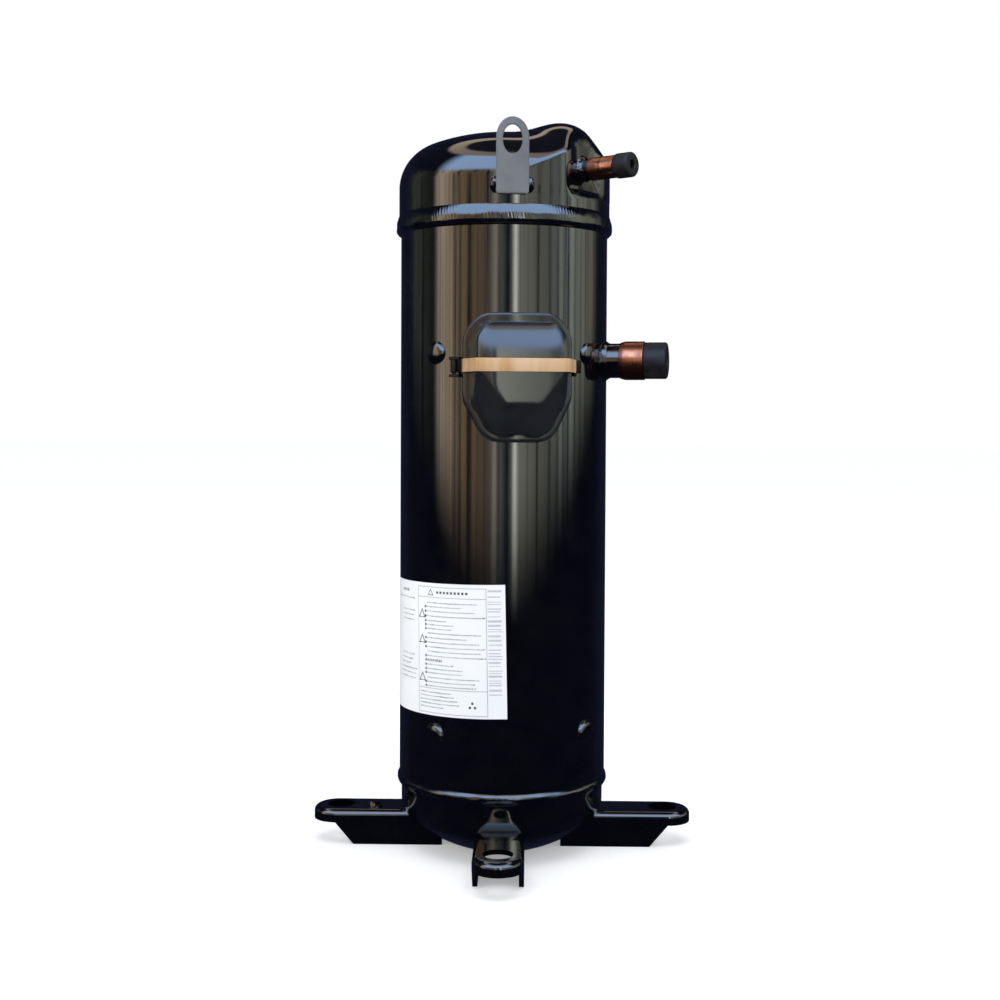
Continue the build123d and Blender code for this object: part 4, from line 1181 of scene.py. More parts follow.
@dataclass
class LiftingLug:
    """The flat lug with its oval eye, tacked to the cap's wall."""

    azimuth: float = 5.0
    bottom: float = 430.5
    top: float = 478.5
    width: float = 20.8
    crown: float = 13.0
    plate: float = 3.2
    back_r: float = 71.5
    eye_w: float = 12.4
    eye_h: float = 18.4
    eye_margin: float = 4.8
    edge: float = 0.7
    tack_size: tuple[float, float, float] = (3.3, 5.4, 2.8)
    tack_height: float = 6.0
    tack_sink: float = 0.6
    tack_lumps: float = 0.16
    count: int = 144

    def build(self) -> None:
        """Builds the lug and its welds."""
        height = self.top - self.bottom
        middle = height - self.eye_margin - self.eye_h / 2
        outer = [self.outer_point(t, height, middle) for t in self.turns()]
        inner = [(self.eye_w / 2 * math.cos(t), middle + self.eye_h / 2 * math.sin(t)) for t in self.turns()]
        back, front = self.back_r, self.back_r + self.plate
        section = [(0.0, back + self.edge), (0.0, front - self.edge), (self.edge, front), (0.5, front)]
        section += [
            (-self.edge, front), (1.0, front - self.edge), (1.0, back + self.edge), (-self.edge, back)
        ]
        section += [(0.5, back), (self.edge, back)]
        rings = []
        for share, level in section:
            rings.append([self.between(a, b, share, level) for a, b in zip(outer, inner)])
        lug = loft("lug_plate", rings, Ends.LOOP, 25)
        settle(lug, port(self.azimuth, self.bottom))
        # painted reflection: the lug takes a grey finish in place of its slot's black enamel
        dress(lug, "casing", "black_paint", "lifting_lug", finish="lug_grey_painted_reflection")
        tacks = [self.tack(side) for side in (-1, 1)]
        welds = join(tacks, "lug_tack_beads")
        dress(settle(welds, port(self.azimuth, self.bottom)), "casing", "black_paint", "lug_tack_welds")

    def turns(self) -> list[float]:
        """Directions round the eye."""
        return [2 * math.pi * i / self.count for i in range(self.count)]

    def outer_point(self, turn: float, height: float, middle: float) -> Point:
        """Where a ray from the eye's centre meets the lug's outline.

        Args:
            turn: the ray's direction, in radians.
            height: the lug's height.
            middle: the eye's height.

        Returns:
            The point.
        """
        low, high = 0.0, 60.0
        straight = height - self.crown
        for _ in range(30):
            reach = (low + high) / 2
            x, y = reach * math.cos(turn), middle + reach * math.sin(turn)
            inside = abs(x) < self.width / 2 and y > 0
            if y > straight:
                inside = (2 * x / self.width) ** 2 + ((y - straight) / self.crown) ** 2 < 1
            low, high = (reach, high) if inside else (low, reach)
        return (high * math.cos(turn), middle + high * math.sin(turn))

    @staticmethod
    def between(outer: Point, inner: Point, share: float, level: float) -> Vector:
        """A point between the outline and the eye.

        Args:
            outer: the point on the outline.
            inner: the matching point on the eye.
            share: 0 to 1 across the plate; a value in (0, 1) other than a half, or below 0, is a
                distance in millimetres from the outline or from the eye.
            level: height out of the shell.

        Returns:
            The point.
        """
        a, b = Vector(outer), Vector(inner)
        if share in (0.0, 0.5, 1.0):
            place = a.lerp(b, share)
        elif share > 0:
            place = a + (b - a).normalized() * share
        else:
            place = b + (a - b).normalized() * -share
        return Vector((place.x, place.y, level))

    def tack(self, side: int) -> bpy.types.Object:
        """A lumpy tack weld down one edge of the lug.

        Args:
            side: -1 for the left edge, 1 for the right.

        Returns:
            The weld.
        """
        deselect()
        bpy.ops.mesh.primitive_ico_sphere_add(subdivisions=4, radius=1.0)
        blob = bpy.context.object
        bpy.ops.object.mode_set(mode="EDIT")
        bpy.ops.transform.resize(value=self.tack_size)
        bpy.ops.object.mode_set(mode="OBJECT")
        for vert in blob.data.vertices:
            vert.co *= 1 + self.tack_lumps * noise.noise(vert.co * 0.35 + Vector((side * 3.0, 0, 0)))
        spot = (side * (self.width / 2 + self.tack_sink), self.tack_height, self.back_r - self.tack_sink)
        blob.data.transform(Matrix.Translation(spot))
        bpy.ops.object.shade_smooth()
        return blob


# ---- Suction and discharge lines ------------------------------------------------------------
@dataclass
class Line:
    """A capped line: brazed stub, copper socket and rubber plug."""

    name: str
    azimuth: float
    height: float
    wall_r: float
    stub_r: float
    stub_bore: float
    socket_r: float
    socket_bore: float
    socket_start: float
    socket_end: float
    plug_r: float
    plug_end: float
    plug_hole: float
    plug_body: str
    stem: float
    curved_wall: bool = True
    braze_spread: float = 2.9
    braze_height: float = 3.6
    braze_lumps: float = 0.35
    spigot_step: float = 0.9
    spigot_length: float = 6.0
    flare_length: float = 3.0
    ring_height: float = 0.05
    ring_pitch: float = 0.9
    plug_grip: float = 0.15

    def build(self) -> None:
        """Builds the line's four pieces."""
        place = port(self.azimuth, self.height)
        inside = self.wall_r - 8
        neck = [(self.stub_bore, inside), (self.stub_r, inside)]
        neck += [(self.stub_r, self.socket_start), (self.stub_bore, self.socket_start)]
        stub = lathe(f"{self.name}_neck", neck, Ends.LOOP, 72)
        dress(settle(stub, place), "casing", "black_paint", f"{self.name}_stub")
        socket = lathe(f"{self.name}_copper", self.socket_profile(), Ends.LOOP, 96)
        dress(settle(socket, place), "casing", "copper_tube", f"{self.name}_socket")
        plug = lathe(f"{self.name}_cap", self.plug_profile(), Ends.POLES, 96)
        dress(settle(plug, place), self.plug_body, "black_rubber", f"{self.name}_plug")
        dress(settle(self.braze(), place), "casing", "black_paint", f"{self.name}_braze")

    def socket_profile(self) -> list[Point]:
        """The copper's section: spigot, flare, two faint swaging rings and a rolled mouth.

        Returns:
            The section, as (radius, distance out) points.
        """
        start, end, outer, bore = self.socket_start, self.socket_end, self.socket_r, self.socket_bore
        flat, back = start + self.flare_length, start - self.spigot_length
        spigot = self.stub_bore - self.spigot_step
        corners = [(self.stub_bore, start), (self.stub_r + 0.5, start), (outer, flat), (outer, start + 6.0)]
        flare = rounded(corners, [0.4, 1.8], 5)
        rings = [
            (outer + self.ring_height * math.cos(i * math.pi / 2), start + 6.5 + i * self.ring_pitch)
            for i in range(1, 7)
        ]
        mouth = arc((outer - 0.5, end - 0.5), 0.5, 0, 90, 4)
        inner = [(bore, end), (bore, flat), (spigot, start), (spigot, back), (self.stub_bore, back)]
        return [*flare, *rings, *mouth, *inner]

    def plug_profile(self) -> list[Point]:
        """The plug's section from the stem's tip to the bottom of its blind hole.

        Returns:
            The section, as (radius, distance out) points.
        """
        start, end, head = self.socket_end, self.plug_end, self.plug_r
        stem = self.socket_bore - self.plug_grip
        tip = start - self.stem
        shoulder = rounded([(stem, start + 0.1), (head, start + 0.1), (head, start + 4)], [0.9], 4)
        face = rounded(
            [(head, end - 4), (head, end), (self.plug_hole, end), (self.plug_hole, end - 4)],
            [1.4, 0.8], 5
        )
        return [
            (stem * 0.4, tip), (stem - 0.9, tip), (stem, tip + 3), *shoulder, *face,
            (self.plug_hole, end - 9), (0.6, end - 9)
        ]

    def braze(self) -> bpy.types.Object:
        """The lumpy fillet where the stub leaves the wall.

        Returns:
            The fillet.
        """
        count, rings = 96, []
        tube, reach = self.stub_r, self.stub_r + self.braze_spread
        steps = 9
        for i in range(steps + 1):
            share = i / steps
            radius = reach - self.braze_spread * share
            lift = self.braze_height * share**1.8
            rings.append(self.braze_ring(radius, lift, count, self.braze_lumps if 0 < i < steps else 0.0))
        rings.append(self.braze_ring(tube - 0.6, self.braze_height, count, 0.0))
        rings.append(self.braze_ring(tube - 0.6, -2.5, count, 0.0))
        rings.append(self.braze_ring(reach - 0.4, -2.0, count, 0.0))
        return loft(f"{self.name}_fillet", rings, Ends.LOOP, 70)

    def braze_ring(self, radius: float, lift: float, count: int, rough: float) -> Ring:
        """One ring of the fillet, standing on the wall.

        Args:
            radius: the ring's radius.
            lift: its height above the wall.
            count: its points.
            rough: the height of its lumps.

        Returns:
            The ring.
        """
        ring = circle(radius, 0, count)
        for k, place in enumerate(ring):
            lump = rough * ripple(2 * math.pi * k / count, lift, 22, radius)
            ground = math.sqrt(self.wall_r**2 - place.x**2) if self.curved_wall else self.wall_r
            place.z = ground + lift + lump
        return ring


# ---- Terminal cover and strap ---------------------------------------------------------------
@dataclass
class TerminalCover:
    """The moulded cover: a rim that follows the shell and a faceted raised body."""

    azimuth: float = 8.6
    top: float = 355.6
    bottom: float = 273.6
    width: float = 70.4
    seat_r: float = 72.3
    rim_r: float = 76.4
    front_r: float = 97.0
    rim_band: float = 4.6
    wall: float = 2.2
    softness: float = 0.8
    corner_r: float = 17.0
    top_cut: Point = (10.5, 13.5)
    low_cut: Point = (14.0, 27.0)
    crown_drop: float = 0.35
    crown_curve: float = 2200.0
    side: tuple[float, float, float] = (16.5, 15.0, 11.0)
    upper: tuple[float, float, float] = (8.0, 30.0, 15.0)
    lower_start: float = -18.4
    lower_slope: float = 0.95
    facet_start: float = 20.4
    facet_slope: float = 0.9
    rim_steps: tuple[Point, ...] = ((0.0, 1.0), (0.3, 0.3), (1.0, 0.0), (2.6, 0.0), (3.8, 0.0))
    count: int = 240

    def outline(self) -> list[Point]:
        """The cover's outer edge, seen from the front.

        Returns:
            The edge's points.
        """
        half_w, half_h = self.width / 2, (self.top - self.bottom) / 2
        right = [(half_w - self.top_cut[0], half_h), (half_w, half_h - self.top_cut[1])]
        right += [(half_w, -half_h + self.low_cut[1]), (half_w - self.low_cut[0], -half_h)]
        left = [(-x, y) for x, y in reversed(right)]
        corners = [*right, *left]
        return spread(rounded(corners, [self.corner_r] * len(corners), 12, True), self.count)

    def inset(self, distance: float) -> list[Point]:
        """The outer edge moved inwards, drawn towards the middle once it would cross itself.

        Args:
            distance: how far it moves.

        Returns:
            The moved edge's points.
        """
        outline = self.outline()
        moved = []
        for i, place in enumerate(outline):
            before, after = Vector(outline[i - 1]), Vector(outline[(i + 1) % len(outline)])
            along = (after - before).normalized()
            normal = Vector((along.y, -along.x))
            spot = Vector(place)
            if normal.dot(spot) > 0:
                normal = -normal
            near = min(distance, 9.0)
            shrink = 1 - max(distance - near, 0.0) / 26.0
            spot = (spot + normal * near) * shrink
            moved.append((spot.x, spot.y))
        return moved

    @staticmethod
    def shoulder(along: float, start: float, reach: float, drop: float) -> float:
        """How far a rounded shoulder has fallen at a place past its start."""
        share = min(max(along - start, 0.0) / reach, 1.0)
        return drop * (1 - math.sqrt(1 - share * share))

    def front(self, x: float, y: float, inside: float) -> float:
        """The raised body's distance from the shaft axis at a place on its face.

        Args:
            x: the place across.
            y: the place up.
            inside: its distance in from the rim.

        Returns:
            The distance.
        """
        crown = self.front_r - self.crown_drop - x * x / self.crown_curve
        side = crown - self.shoulder(abs(x), *self.side)
        upper = crown - self.shoulder(y, *self.upper)
        lower = self.front_r - (self.lower_start - y) * self.lower_slope
        facet = self.front_r - (0.82 * abs(x) - 0.57 * y - self.facet_start) * self.facet_slope
        walls = self.rim_r + inside * 9.0
        total = sum(math.exp((self.front_r - face) / self.softness) for face in (crown, lower, facet, walls))
        return self.front_r - self.softness * math.log(total) - (2 * crown - side - upper)

    def build(self) -> None:
        """Builds the cover."""
        rings = []
        outer = self.inset(0.0)
        rings.append([Vector((x, y, math.sqrt(self.seat_r**2 - x * x))) for x, y in outer])
        for distance, drop in self.rim_steps:
            ring = [Vector((x, y, math.sqrt(self.rim_r**2 - x * x) - drop)) for x, y in self.inset(distance)]
            rings.append(ring)
        steps = [self.rim_band + 0.25 * i for i in range(14)] + [8.4 + 0.8 * i for i in range(10)]
        steps += [17.0 + 1.5 * i for i in range(12)]
        for distance in steps:
            ring = []
            for x, y in self.inset(distance):
                rim = math.sqrt(self.rim_r**2 - x * x)
                ring.append(Vector((x, y, max(rim, self.front(x, y, distance - self.rim_band)))))
            rings.append(ring)
        cover = loft("terminal_box_cover", rings, Ends.POLE_ONLY, 60)
        thicken(cover, self.wall)
        bpy.ops.object.shade_smooth_by_angle(angle=math.radians(50))
        middle = (self.top + self.bottom) / 2
        dress(settle(cover, port(self.azimuth, middle)), "cover", "cover_plastic", "terminal_cover")


@dataclass
class Strap:
    """The band across the cover: an eye round its pin, two legs and a turned-out end."""

    azimuth: float = 7.5
    height: float = 321.9
    band: float = 8.3
    gauge: float = 0.8
    pin: Point = (-39.0, 64.0)
    eye_r: float = 1.8
    near_knee: Point = (-35.8, 74.0)
    near_front: Point = (-27.6, 97.7)
    far_front: Point = (30.2, 97.7)
    far_knee: Point = (38.0, 74.0)
    end: Point = (40.0, 64.5)
    lip: Point = (42.2, 66.0)
    bend_radii: tuple[float, ...] = (4.0, 2.4, 2.4, 4.0, 1.4)
    edge: float = 0.3

    def build(self) -> None:
        """Builds the strap."""
        start = (self.pin[0] + self.eye_r, self.pin[1])
        legs = [start, self.near_knee, self.near_front, self.far_front, self.far_knee, self.end, self.lip]
        path = arc(self.pin, self.eye_r, -300, 0, 24)[:-1] + rounded(legs, self.bend_radii, 8)
        rings = []
        for i, place in enumerate(path):
            before, after = path[max(i - 1, 0)], path[min(i + 1, len(path) - 1)]
            along = (Vector(after) - Vector(before)).normalized()
            rings.append(self.section(Vector(place), Vector((-along.y, along.x))))
        strap = loft("cover_band", rings, Ends.CAPS, 40)
        dress(settle(strap, port(self.azimuth, self.height)), "strap", "tan_strap", "cover_strap")

    def section(self, place: Vector, across: Vector) -> Ring:
        """The band's section at a place on its path, with rounded edges.

        Args:
            place: the place, seen from above.
            across: the direction through the band there.

        Returns:
            The section's points.
        """
        half_h, half_t = self.band / 2, self.gauge / 2
        corners = [(half_h, -half_t), (half_h, half_t), (-half_h, half_t), (-half_h, -half_t)]
        ring = []
        for up, out in rounded(corners, [self.edge] * 4, 3, True):
            spot = place + across * out
            ring.append(Vector((spot.x, up, spot.y)))
        return ring


# ---- Label ----------------------------------------------------------------------------------
@dataclass(frozen=True)
class Row:
    """A row of dashes on the label: distance below the box's top, start, length and weight."""

    down: float
    start: float
    length: float
    bullet: bool = False
    bold: bool = False


@dataclass
class Label:
    """The wrap-round label: a thin sheet with generic rules, dashes, signs and bars."""

    shell_r: float = 69.9
    right_az: float = 2.4
    top: float = 183.1
    height: float = 85.7
    length: float = 150.0
    gauge: float = 0.22
    mark_step: float = 3.5
    tilt_deg: float = 1.2
    ink_lift: float = 0.06
    box_right: float = -12.3
    box_width: float = 52.3
    box_top: float = 2.6
    box_height: float = 81.4
    rows: tuple[Row, ...] = (
        Row(10.2, 9, 38), Row(12.8, 9, 26, True), Row(15.7, 9, 36, True), Row(18.8, 9, 42, True),
        Row(21.8, 9, 16, True),
        Row(24.4, 9, 21, True), Row(27.0, 9, 19, True), Row(29.9, 9, 40), Row(32.9, 9, 30, True),
        Row(35.8, 9, 38, True), Row(38.8, 9, 41, True), Row(41.7, 9, 39), Row(44.6, 9, 42, True),
        Row(47.4, 9, 12, True, True), Row(50.2, 9, 20, True), Row(53.0, 9, 27, True), Row(55.6, 9, 26, True),
        Row(58.6, 9, 38), Row(61.4, 9, 34, True), Row(64.0, 9, 36, True),
    )
    foot_rows: tuple[Row, ...] = (
        Row(68.2, 2, 26), Row(70.6, 2, 27), Row(73.0, 2, 29), Row(75.4, 2, 30), Row(77.8, 2, 19),
    )
    side_rows: tuple[Row, ...] = (
        Row(3.6, -22, 10, False, True), Row(8.4, -30, 26), Row(16.5, -22, 17), Row(19.6, -22, 17),
        Row(22.8, -22, 15),
        Row(45.5, -24, 18), Row(48.6, -24, 17), Row(51.6, -24, 13), Row(54.8, -26, 23), Row(57.8, -26, 22),
        Row(60.9, -26, 21),
    )
    signs: tuple[float, ...] = (18.2, 34.8, 59.4)
    sign_r: float = 3.9
    head_sign_r: float = 2.9
    rules: tuple[float, ...] = (0.0, 6.6, 65.6)
    line: float = 0.22
    bullet_r: float = 0.85
    print_height: float = 0.62
    bold_height: float = 1.5
    bar_heights: tuple[float, ...] = (0.5, 0.8, 1.3)
    bar_gaps: tuple[float, ...] = (1.0, 1.5, 2.4)
    bar_length: float = 8.4
    bar_left: float = -11.3
    bars_end: float = -72.0

    def build(self) -> None:
        """Builds the sheet, its dark print and its pale bars."""
        self.chance = random.Random(11)
        deselect()
        bpy.ops.mesh.primitive_grid_add(x_subdivisions=90, y_subdivisions=6, size=1.0)
        sheet = bpy.context.object
        sheet.name = "wrap_label"
        bpy.ops.object.mode_set(mode="EDIT")
        bpy.ops.transform.resize(value=(self.length, self.height, 1))
        bpy.ops.transform.translate(value=(-self.length / 2, -self.height / 2, 0))
        bpy.ops.object.mode_set(mode="OBJECT")
        self.wrap(sheet, self.gauge)
        thicken(sheet, self.gauge - 0.02)
        bpy.ops.object.shade_smooth_by_angle(angle=math.radians(40))
        dress(settle(sheet), "casing", "label_paper", "data_plate")
        self.print_layer("label_print", self.draw_print, "label_ink")
        self.print_layer("label_bars", self.draw_bars, "label_tint")

    def wrap(self, piece: bpy.types.Object, lift: float) -> None:
        """Bends flat artwork, drawn leftwards and downwards from the label's corner, round the shell.

        Args:
            piece: the artwork.
            lift: its height above the shell.
        """
        radius = self.shell_r + lift
        tilt = math.radians(self.tilt_deg)
        for vert in piece.data.vertices:
            along = vert.co.x * math.cos(tilt) - vert.co.y * math.sin(tilt)
            up = vert.co.x * math.sin(tilt) + vert.co.y * math.cos(tilt)
            turn = math.radians(self.right_az) + along / self.shell_r
            vert.co = Vector((radius * math.sin(turn), -radius * math.cos(turn), self.top + up))
        piece.data.update()

    def print_layer(self, name: str, draw: Callable[[], None], finish: str) -> None:
        """Draws one colour of the artwork and lays it on the sheet.

        Args:
            name: the piece's name.
            draw: draws the marks in edit mode.
            finish: its finish.
        """
        deselect()
        bpy.ops.mesh.primitive_plane_add(size=0.3, location=(-self.length + 2, -self.height + 2, 0))
        layer = bpy.context.object
        layer.name = name
        bpy.ops.object.transform_apply(location=True, rotation=True, scale=True)
        bpy.ops.object.mode_set(mode="EDIT")
        bpy.ops.mesh.select_mode(type="FACE")
        draw()
        bpy.ops.object.mode_set(mode="OBJECT")
        self.wrap(layer, self.gauge + self.ink_lift)
        dress(settle(layer), "casing", "label_paper", finish=finish)

    def mark(self, x: float, y: float, width: float, height: float) -> None:
        """A solid bar of ink, in short lengths so that it follows the shell.

        Args:
            x: its left end.
            y: its middle's height.
            width: its width.
            height: its height.
        """
        pieces = max(1, math.ceil(width / self.mark_step))
        step = width / pieces
        for i in range(pieces):
            bpy.ops.mesh.primitive_plane_add(size=1.0, location=(x + step * (i + 0.5), y, 0))
            bpy.ops.transform.resize(value=(step, height, 1))

    def dashes(self, row: Row) -> None:
        """A row of short dashes that reads as small print without being any.

        Args:
            row: the row.
        """
        left = self.box_right - self.box_width
        x, y = left + row.start, -self.box_top - row.down
        stop = x + row.length
        tall = self.bold_height if row.bold else self.print_height
        if row.bullet:
            bpy.ops.mesh.primitive_circle_add(
                vertices=10, radius=self.bullet_r, fill_type="NGON", location=(x - 1.7, y, 0)
            )
        while x < stop:
            width = self.chance.uniform(0.5, 1.3)
            self.mark(x, y + self.chance.uniform(-0.08, 0.08), width, tall * self.chance.uniform(0.6, 1.3))
            x += width + self.chance.uniform(0.5, 1.2)

    def triangle(self, x: float, y: float, size: float) -> None:
        """An outlined triangle.

        Args:
            x: its middle, across.
            y: its middle's height.
            size: its radius.
        """
        bpy.ops.mesh.primitive_circle_add(vertices=3, radius=size, fill_type="NGON", location=(x, y, 0))
        bpy.ops.mesh.inset(thickness=size * 0.16)
        bpy.ops.mesh.delete(type="FACE")

    def draw_print(self) -> None:
        """The dark artwork: box, rules, dashes, triangles and three dots."""
        left, top = self.box_right - self.box_width, -self.box_top
        for down in (*self.rules, self.box_height):
            self.mark(left, top - down, self.box_width, self.line)
        for x in (left, self.box_right):
            self.mark(x - self.line / 2, top - self.box_height / 2, self.line, self.box_height)
        for row in (*self.rows, *self.foot_rows, *self.side_rows):
            self.dashes(row)
        for down in self.signs:
            self.triangle(left + 3.7, top - down, self.sign_r)
        self.triangle(left + 12.0, top - 3.9, self.head_sign_r)
        for i in range(9):
            self.mark(left + 17 + i * 2.7, top - 3.3, 1.5, 1.5)
        for dx, dy in ((0.0, 1.6), (-1.7, -1.1), (1.7, -1.1)):
            bpy.ops.mesh.primitive_circle_add(
                vertices=16, radius=self.bullet_r, fill_type="NGON",
                location=(self.box_right - 10 + dx, top - 75 + dy, 0)
            )

    def draw_bars(self) -> None:
        """The pale column of bars beside the box."""
        y = -4.0
        while y > self.bars_end:
            height = self.chance.choice(self.bar_heights)
            self.mark(self.bar_left, y, self.bar_length + self.chance.uniform(-0.8, 0.6), height)
            y -= height + self.chance.choice(self.bar_gaps)


# ---- Studio ---------------------------------------------------------------------------------
@dataclass
class Studio:
    """Camera, pale floor and soft light."""

    distance: float = 0.971
    azimuth: float = 1.1
    eye_height: float = 0.2916
    pitch_deg: float = 1.25
    roll_deg: float = 0.275
    lens: float = 51.2
    shift: Point = (-0.0033, -0.055)
    backdrop_tone: Tone = (1.0, 1.0, 1.0)
    fill_tone: Tone = (0.78, 0.79, 0.82)
    sky_tone: Tone = (1.6, 2.35, 3.7)
    canopy_tone: Tone = (1.1, 0.9, 0.7)
    zenith_tone: Tone = (0.03, 0.03, 0.05)
    ground_tone: Tone = (0.006, 0.007, 0.018)
    dark_tone: Tone = (0.01, 0.012, 0.03)
    ground_lift: float = 0.09
    streak_scale: float = 9.0
    streak_range: Point = (0.32, 0.56)
    floor_size: float = 24.0
    floor_tone: Tone = (0.86, 0.87, 0.88)
    floor_glow: float = 0.32
    bands: tuple[tuple[float, Tone], ...] = (
        (-150, (0.02, 0.02, 0.04)),
        (-124, (0.03, 0.04, 0.05)),
        (-110, (0.13, 0.15, 0.12)),
        (-82, (0.05, 0.06, 0.04)),
        (-73, (1.9, 1.6, 1.2)),
        (-58, (1.7, 1.25, 0.85)),
        (-40, (0.75, 0.52, 0.28)),
        (-20, (0.60, 0.42, 0.27)),
        (-9, (1.25, 1.1, 0.95)),
        (-1, (0.45, 0.5, 0.42)),
        (5, (0.08, 0.12, 0.15)),
        (9, (0.4, 0.45, 0.4)),
        (14, (3.6, 3.7, 3.2)),
        (19, (0.9, 0.95, 0.75)),
        (42, (0.6, 0.6, 0.5)),
        (60, (0.55, 0.6, 0.52)),
        (72, (1.3, 1.45, 1.3)),
        (90, (0.8, 0.85, 0.7)),
        (112, (0.45, 0.45, 0.35)),
        (130, (0.04, 0.05, 0.06)),
        (160, (0.02, 0.02, 0.04)),
    )

    def build(self) -> None:
        """Sets the stage."""
        self.camera()
        self.floor()
        self.world()
        self.lights()

    def camera(self) -> None:
        """The camera at the usual viewing angle."""
        data = bpy.data.cameras.new("camera")
        data.lens, data.sensor_width = self.lens, 36.0
        data.shift_x, data.shift_y = self.shift
        data.clip_start, data.clip_end = 0.01, 50.0
        camera = bpy.data.objects.new("camera", data)
        bpy.context.scene.collection.objects.link(camera)
        turn = Matrix.Rotation(math.radians(self.azimuth), 4, "Z")
        tilt = Matrix.Rotation(math.radians(90 - self.pitch_deg), 4, "X")
        roll = Matrix.Rotation(math.radians(self.roll_deg), 4, "Z")
        spot = turn @ Vector((0, -self.distance, self.eye_height))
        camera.matrix_world = Matrix.Translation(spot) @ turn @ tilt @ roll
        bpy.context.scene.camera = camera

    def floor(self) -> None:
        """A plain pale floor."""
        deselect()
        bpy.ops.mesh.primitive_plane_add(size=self.floor_size, location=(0, 0, 0))
        floor = bpy.context.object
        floor.name = "floor"
        paint = bpy.data.materials.new("pale_floor")
        paint.use_nodes = True
        shader = paint.node_tree.nodes["Principled BSDF"]
        shader.inputs["Base Color"].default_value = (*self.floor_tone, 1)
        shader.inputs["Emission Color"].default_value = (1, 1, 1, 1)
        shader.inputs["Emission Strength"].default_value = self.floor_glow
        shader.inputs["Roughness"].default_value = 0.9
        shader.inputs["Specular IOR Level"].default_value = 0.1
        floor.data.materials.append(paint)
        floor.visible_glossy = False

    def world(self) -> None:
        """A white backdrop and even light; in reflections, a sky, an uneven horizon and a dark ground."""
        world = bpy.data.worlds.new("studio")
        bpy.context.scene.world = world
        world.use_nodes = True
        self.tree = world.node_tree
        way = self.tree.nodes.new("ShaderNodeTexCoord").outputs["Generated"]
        parts = self.tree.nodes.new("ShaderNodeSeparateXYZ")
        self.tree.links.new(way, parts.inputs["Vector"])
        level, behind = parts.outputs["Z"], parts.outputs["Y"]
        horizon = self.horizon(way)
        lifted = self.tree.nodes.new("ShaderNodeMath")
        lifted.operation = "MULTIPLY_ADD"
        self.tree.links.new(behind, lifted.inputs[0])
        lifted.inputs[1].default_value = -self.ground_lift
        self.tree.links.new(level, lifted.inputs[2])
        open_sky = self.blend(self.dark_tone, self.sky_tone, self.rise(behind, -0.10, -0.42))
        sky = self.blend(horizon, open_sky, self.rise(level, 0.30, 0.44))
        sky = self.blend(sky, self.canopy_tone, self.rise(level, 0.80, 0.84))
        sky = self.blend(sky, self.zenith_tone, self.rise(level, 0.90, 0.93))
        shown = self.blend(self.ground_tone, sky, self.rise(lifted.outputs["Value"], -0.06, 0.05))
        shown = self.blend(shown, self.dark_tone, self.rise(behind, 0.50, 0.72))
        rays = self.tree.nodes.new("ShaderNodeLightPath").outputs
        seen = self.blend(self.fill_tone, self.backdrop_tone, rays["Is Camera Ray"])
        seen = self.blend(seen, shown, rays["Is Glossy Ray"])
        self.tree.links.new(seen, self.tree.nodes["Background"].inputs["Color"])

    def horizon(self, way: bpy.types.NodeSocket) -> bpy.types.NodeSocket:
        """Upright bands of tone by azimuth, broken into finer streaks.

        Args:
            way: the direction looked in.

        Returns:
            The colour.
        """
        turn = self.tree.nodes.new("ShaderNodeMapping")
        turn.vector_type = "POINT"
        turn.inputs["Rotation"].default_value = (0, 0, math.radians(90))
        self.tree.links.new(way, turn.inputs["Vector"])
        dial = self.tree.nodes.new("ShaderNodeTexGradient")
        dial.gradient_type = "RADIAL"
        self.tree.links.new(turn.outputs["Vector"], dial.inputs["Vector"])
        ramp = self.tree.nodes.new("ShaderNodeValToRGB")
        stops = ramp.color_ramp.elements
        ramp.color_ramp.interpolation = "EASE"
        for azimuth, tone in self.bands[1:-1]:
            stops.new((azimuth + 180) / 360).color = (*tone, 1)
        for stop, (azimuth, tone) in ((stops[0], self.bands[0]), (stops[-1], self.bands[-1])):
            stop.position = (azimuth + 180) / 360
            stop.color = (*tone, 1)
        self.tree.links.new(dial.outputs["Fac"], ramp.inputs["Fac"])
        flat = self.tree.nodes.new("ShaderNodeVectorMath")
        flat.operation = "MULTIPLY"
        flat.inputs[1].default_value = (1, 1, 0.02)
        self.tree.links.new(way, flat.inputs[0])
        fine = self.tree.nodes.new("ShaderNodeTexNoise")
        fine.inputs["Scale"].default_value = self.streak_scale
        fine.inputs["Detail"].default_value = 5.0
        fine.inputs["Roughness"].default_value = 0.7
        self.tree.links.new(flat.outputs["Vector"], fine.inputs["Vector"])
        streaks = self.rise(fine.outputs["Fac"], *self.streak_range)
        return self.blend(self.dark_tone, ramp.outputs["Color"], streaks)

    def rise(self, value: bpy.types.NodeSocket, start: float, end: float) -> bpy.types.NodeSocket:
        """A soft step from 0 to 1.

        Args:
            value: the value.
            start: where the step starts.
            end: where it ends.

        Returns:
            The share.
        """
        node = self.tree.nodes.new("ShaderNodeMapRange")
        node.interpolation_type = "SMOOTHSTEP"
        node.inputs["From Min"].default_value = start
        node.inputs["From Max"].default_value = end
        self.tree.links.new(value, node.inputs["Value"])
        return node.outputs["Result"]

    def blend(
        self, low: bpy.types.NodeSocket | Tone, high: bpy.types.NodeSocket | Tone,
        share: bpy.types.NodeSocket
    ) -> bpy.types.NodeSocket:
        """Mixes two tones or colour outputs.

        Args:
            low: the tone where the share is 0.
            high: the tone where it is 1.
            share: the share.

        Returns:
            The colour.
        """
        node = self.tree.nodes.new("ShaderNodeMix")
        node.data_type = "RGBA"
        self.tree.links.new(share, node.inputs["Factor"])
        for name, tone in (("A", low), ("B", high)):
            socket = next(i for i in node.inputs if i.name == name and i.type == "RGBA")
            if isinstance(tone, tuple):
                socket.default_value = (*tone, 1)
            else:
                self.tree.links.new(tone, socket)
        return next(o for o in node.outputs if o.type == "RGBA")

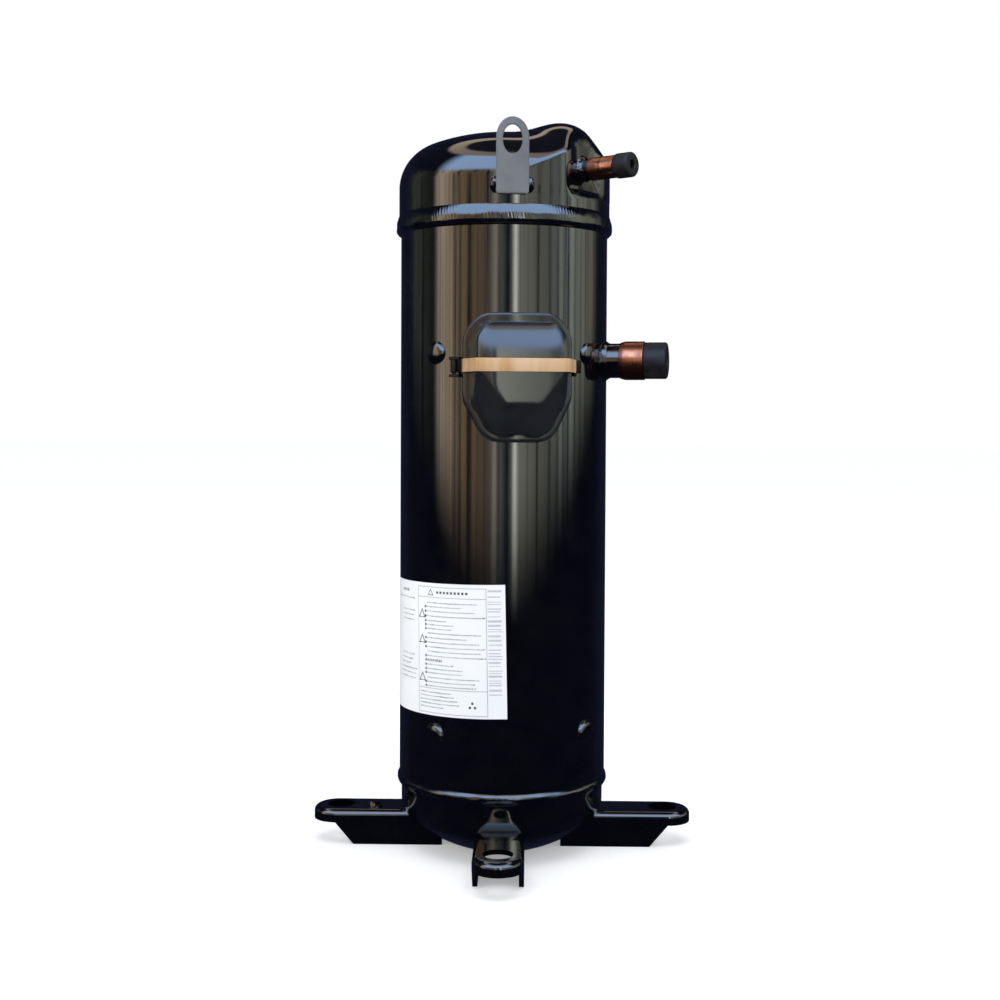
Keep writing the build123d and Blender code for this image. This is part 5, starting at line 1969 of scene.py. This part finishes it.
    def lights(self) -> None:
        """Tall soft panels either side of the camera and one overhead."""
        self.panel("left_panel", (-1.6, -1.0, 0.8), (0.6, 1.4), 6.0, (1.0, 0.97, 0.92))
        self.panel("right_panel", (1.7, -0.3, 0.8), (0.6, 1.4), 4.0, (1.0, 0.98, 0.95))
        self.panel("top_panel", (0.0, -0.3, 2.2), (1.8, 1.4), 16.0, (0.97, 0.98, 1.0))

    def panel(
        self, name: str, place: tuple[float, float, float], size: Point, power: float,
        tone: tuple[float, float, float]
    ) -> None:
        """A rectangular area light aimed at the middle of the object.

        Args:
            name: the light's name.
            place: where it hangs.
            size: its width and height.
            power: its power in watts.
            tone: its colour.
        """
        data = bpy.data.lights.new(name, "AREA")
        data.shape, data.size, data.size_y = "RECTANGLE", size[0], size[1]
        data.energy, data.color = power, tone
        lamp = bpy.data.objects.new(name, data)
        lamp.visible_glossy = False
        bpy.context.scene.collection.objects.link(lamp)
        aim = Vector((0, 0, 0.25)) - Vector(place)
        lamp.location = place
        lamp.rotation_euler = aim.to_track_quat("-Z", "Y").to_euler()


def finish_name(entry: dict) -> str:
    """The finish of a node: its slot's, but for the brackets and the painted-over screw.

    Args:
        entry: the node's entry in the record.

    Returns:
        The finish's key.
    """
    if "bracket" in entry["node"]:
        return "bracket_paint"
    return "black_paint" if entry["node"] == "earth_screw" else entry["material_slot"]


def dress_nodes(frame: dict) -> None:
    """Gives every node that is kept from the model the finish of its slot.
    """
    for entry in frame["record"]["subparts"]:
        node = frame["nodes"][entry["node"]]
        finish = material(finish_name(entry))
        if not node.material_slots:
            node.data.materials.append(finish)
        for holder in node.material_slots:
            holder.material = finish


def main() -> None:
    """Builds everything in order."""
    logging.basicConfig(level=logging.INFO, format="%(message)s")
    bpy.context.scene.view_settings.view_transform = "Standard"
    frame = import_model()
    dress_nodes(frame)
    Studio().build()
    casing = Casing()
    casing.build()
    cap = TopCap()
    cap.build()
    Foot().build(casing)
    LiftingLug().build()
    Line(
        name="suction", azimuth=casing.suction_az, height=casing.suction_z, wall_r=casing.shell_r,
        stub_r=casing.suction_hole, stub_bore=10.2, socket_r=12.9, socket_bore=11.3, socket_start=80.5,
        socket_end=96.7, plug_r=12.2, plug_end=111.7, plug_hole=5.0, plug_body="suction_cap", stem=12.0,
    ).build()
    Line(
        name="discharge", azimuth=cap.pocket_az, height=cap.port_z, wall_r=cap.pad_r, stub_r=cap.port_r,
        stub_bore=5.6, socket_r=7.35, socket_bore=6.45, socket_start=73.0, socket_end=92.5, plug_r=8.0,
        plug_end=104.0, plug_hole=2.5, plug_body="discharge_cap", stem=10.0, curved_wall=False,
        braze_spread=2.6, braze_height=3.0,
    ).build()
    TerminalCover().build()
    Strap().build()
    Label().build()


if __name__ == "__main__":
    main()
